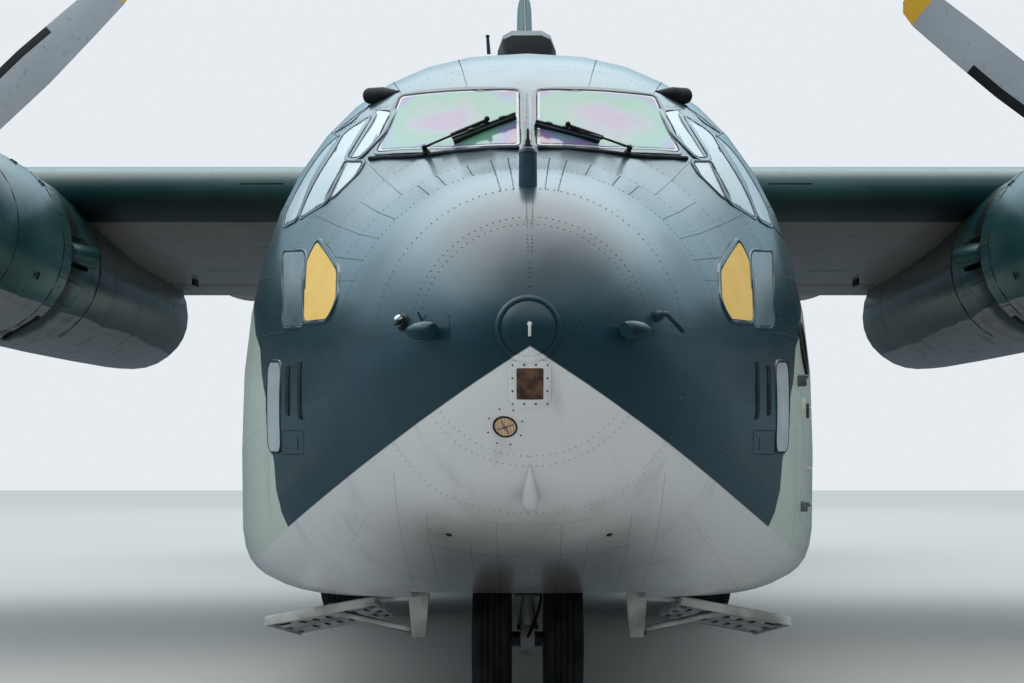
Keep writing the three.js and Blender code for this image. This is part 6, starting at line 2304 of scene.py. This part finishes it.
# %% Static wicks
WICKS = [
    # body, first and last X, count
    ("aileron_left", (11.0, 15.6), 4), ("elevator_left", (2.2, 5.2), 3),
]
FAN_STEP = 0.02
for body, (start, end), count in WICKS:
    for name, side in ((body, 1), (body.replace("left", "right"), -1)):
        tree = tree_of(name)
        bm = bmesh.new()
        for i in range(count):
            x = side * (start + (end - start) * i / (count - 1))
            z = 4.95 if "elevator" in name else 3.60 + DIHEDRAL * (abs(x) - WING_BREAK)
            spots = [on_skin(tree, at(x, 26, z + FAN_STEP * j), FORWARD)[0] for j in range(-20, 21)]
            edge = max((spot for spot in spots if spot is not None), key=lambda spot: spot.y)
            add_bar(bm, edge - BACK * 0.02, edge + BACK * 0.012, 0.004, None, 0, 8)
            add_bar(bm, edge + BACK * 0.01, edge + BACK * 0.10, 0.0025, 0.001, 0, 6)
        new_piece(name + "_wicks", bm, name, finish["black_rubber"])
print("Lights, aerials and wicks are on")

# %% [markdown]
# ## Flight deck and cargo hold
#
# Through the windows the flight deck shows a dark instrument panel, yokes and a throttle
# stand. Through the open doors the hold shows frames, floor rails and benches.

# %% Flight deck
PILOT_X = 0.48
DIAL = [(0.0, 0.002), (0.030, 0.002), (0.034, 0.006), (0.038, 0.0)]
WHEEL_TURNS = range(-230, 51, 20)
bm = bmesh.new()
panel = at(0, 2.24, 2.72)
add_box(bm, Matrix.Translation(panel), (1.55, 0.06, 0.30), 0.02, 0)
for column in range(-5, 6):
    for row in (-1, 0, 1):
        dial = panel + Vector((column * 0.13, 0.032, row * 0.09))
        add_turned(bm, frame_at(dial, BACK), DIAL, 1, 16)
add_box(bm, Matrix.Translation(at(0, 2.55, 2.35)), (0.30, 0.42, 0.30), 0.03, 0)
for i in range(4):
    knob = at(-0.09 + 0.06 * i, 2.55, 2.50)
    add_bar(bm, knob, knob + Vector((0, -0.03, 0.13)), 0.007, None, 2, 8)
    add_ball(bm, Matrix.Translation(knob + Vector((0, -0.032, 0.14))), (0.02, 0.02, 0.02), 0, 12)
for side in SIDES:
    hub = at(side * PILOT_X, 2.42, 2.62)
    turns = [math.radians(angle) for angle in WHEEL_TURNS]
    wheel = [hub + Vector((0.17 * math.cos(turn), 0, 0.13 * math.sin(turn))) for turn in turns]
    add_pipe(bm, wheel, 0.013, 0)
    add_bar(bm, wheel[0], wheel[-1], 0.011, None, 0, 10)
new_piece("flight_deck_controls", bm, "airframe", coats("panel_black chrome steel"))
print("Flight deck dressed")

# %% [markdown]
# The hold is lined by upright frames. Rails and tie-down rings lie along its floor, benches
# of red webbing stand at its sides, and the ramp has treads across it.

# %% Cargo hold
HOLD = (4.2, 13.0)
FRAME_PITCH = 0.55
FLOOR_Z = 1.175
TIE_RING = [(0.028, 0.0), (0.034, 0.006), (0.04, 0.0)]
bm = bmesh.new()
for i in range(int((HOLD[1] - HOLD[0]) / FRAME_PITCH) + 1):
    station = HOLD[0] + FRAME_PITCH * i
    add_box(bm, Matrix.Translation(at(1.60, station, 2.2)), (0.05, 0.035, 1.6), 0.006, 0)
for x in (0.35, 0.95, 1.35):
    add_box(bm, Matrix.Translation(at(x, 8.6, FLOOR_Z + 0.008)), (0.09, 8.6, 0.016), 0.004, 1)
for i in range(12):
    for x in (0.65, 1.15):
        ring = at(x, 4.6 + 0.7 * i, FLOOR_Z + 0.012)
        add_turned(bm, Matrix.Translation(ring), TIE_RING, 2, 16, closed=True)
for i in range(8):
    seat = at(1.42, 4.9 + 0.95 * i, 1.55)
    add_box(bm, Matrix.Translation(seat), (0.28, 0.86, 0.03), 0.01, 3)
    add_box(bm, Matrix.Translation(seat + Vector((0.14, 0, 0.25))), (0.03, 0.86, 0.45), 0.01, 3)
    leg = seat + Vector((-0.13, 0.40, 0.0))
    add_bar(bm, leg, Vector((leg.x, leg.y, FLOOR_Z)), 0.012, None, 1, 10)
add_mirrored(bm)
new_piece("hold_fittings", bm, "airframe", coats("deck_green white_metal steel red_webbing"))

bm = bmesh.new()
ramp_tree = tree_of("cargo_ramp")
for i in range(9):
    station = 13.6 + 0.3 * i
    for x in (0.35, 0.95):
        tread = on_skin(ramp_tree, at(x, station, 3.0), -UP)
        if tread[0] is not None:
            add_plate(bm, tread, (0.42, 0.04, 0.02), 0.005, 0, BACK)
add_mirrored(bm)
new_piece("ramp_treads", bm, "cargo_ramp", finish["white_metal"])
print("Hold and ramp dressed")

# %% Close the frame
low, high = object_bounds()
print("Finished box", [round(v, 3) for v in (*low, *high)])
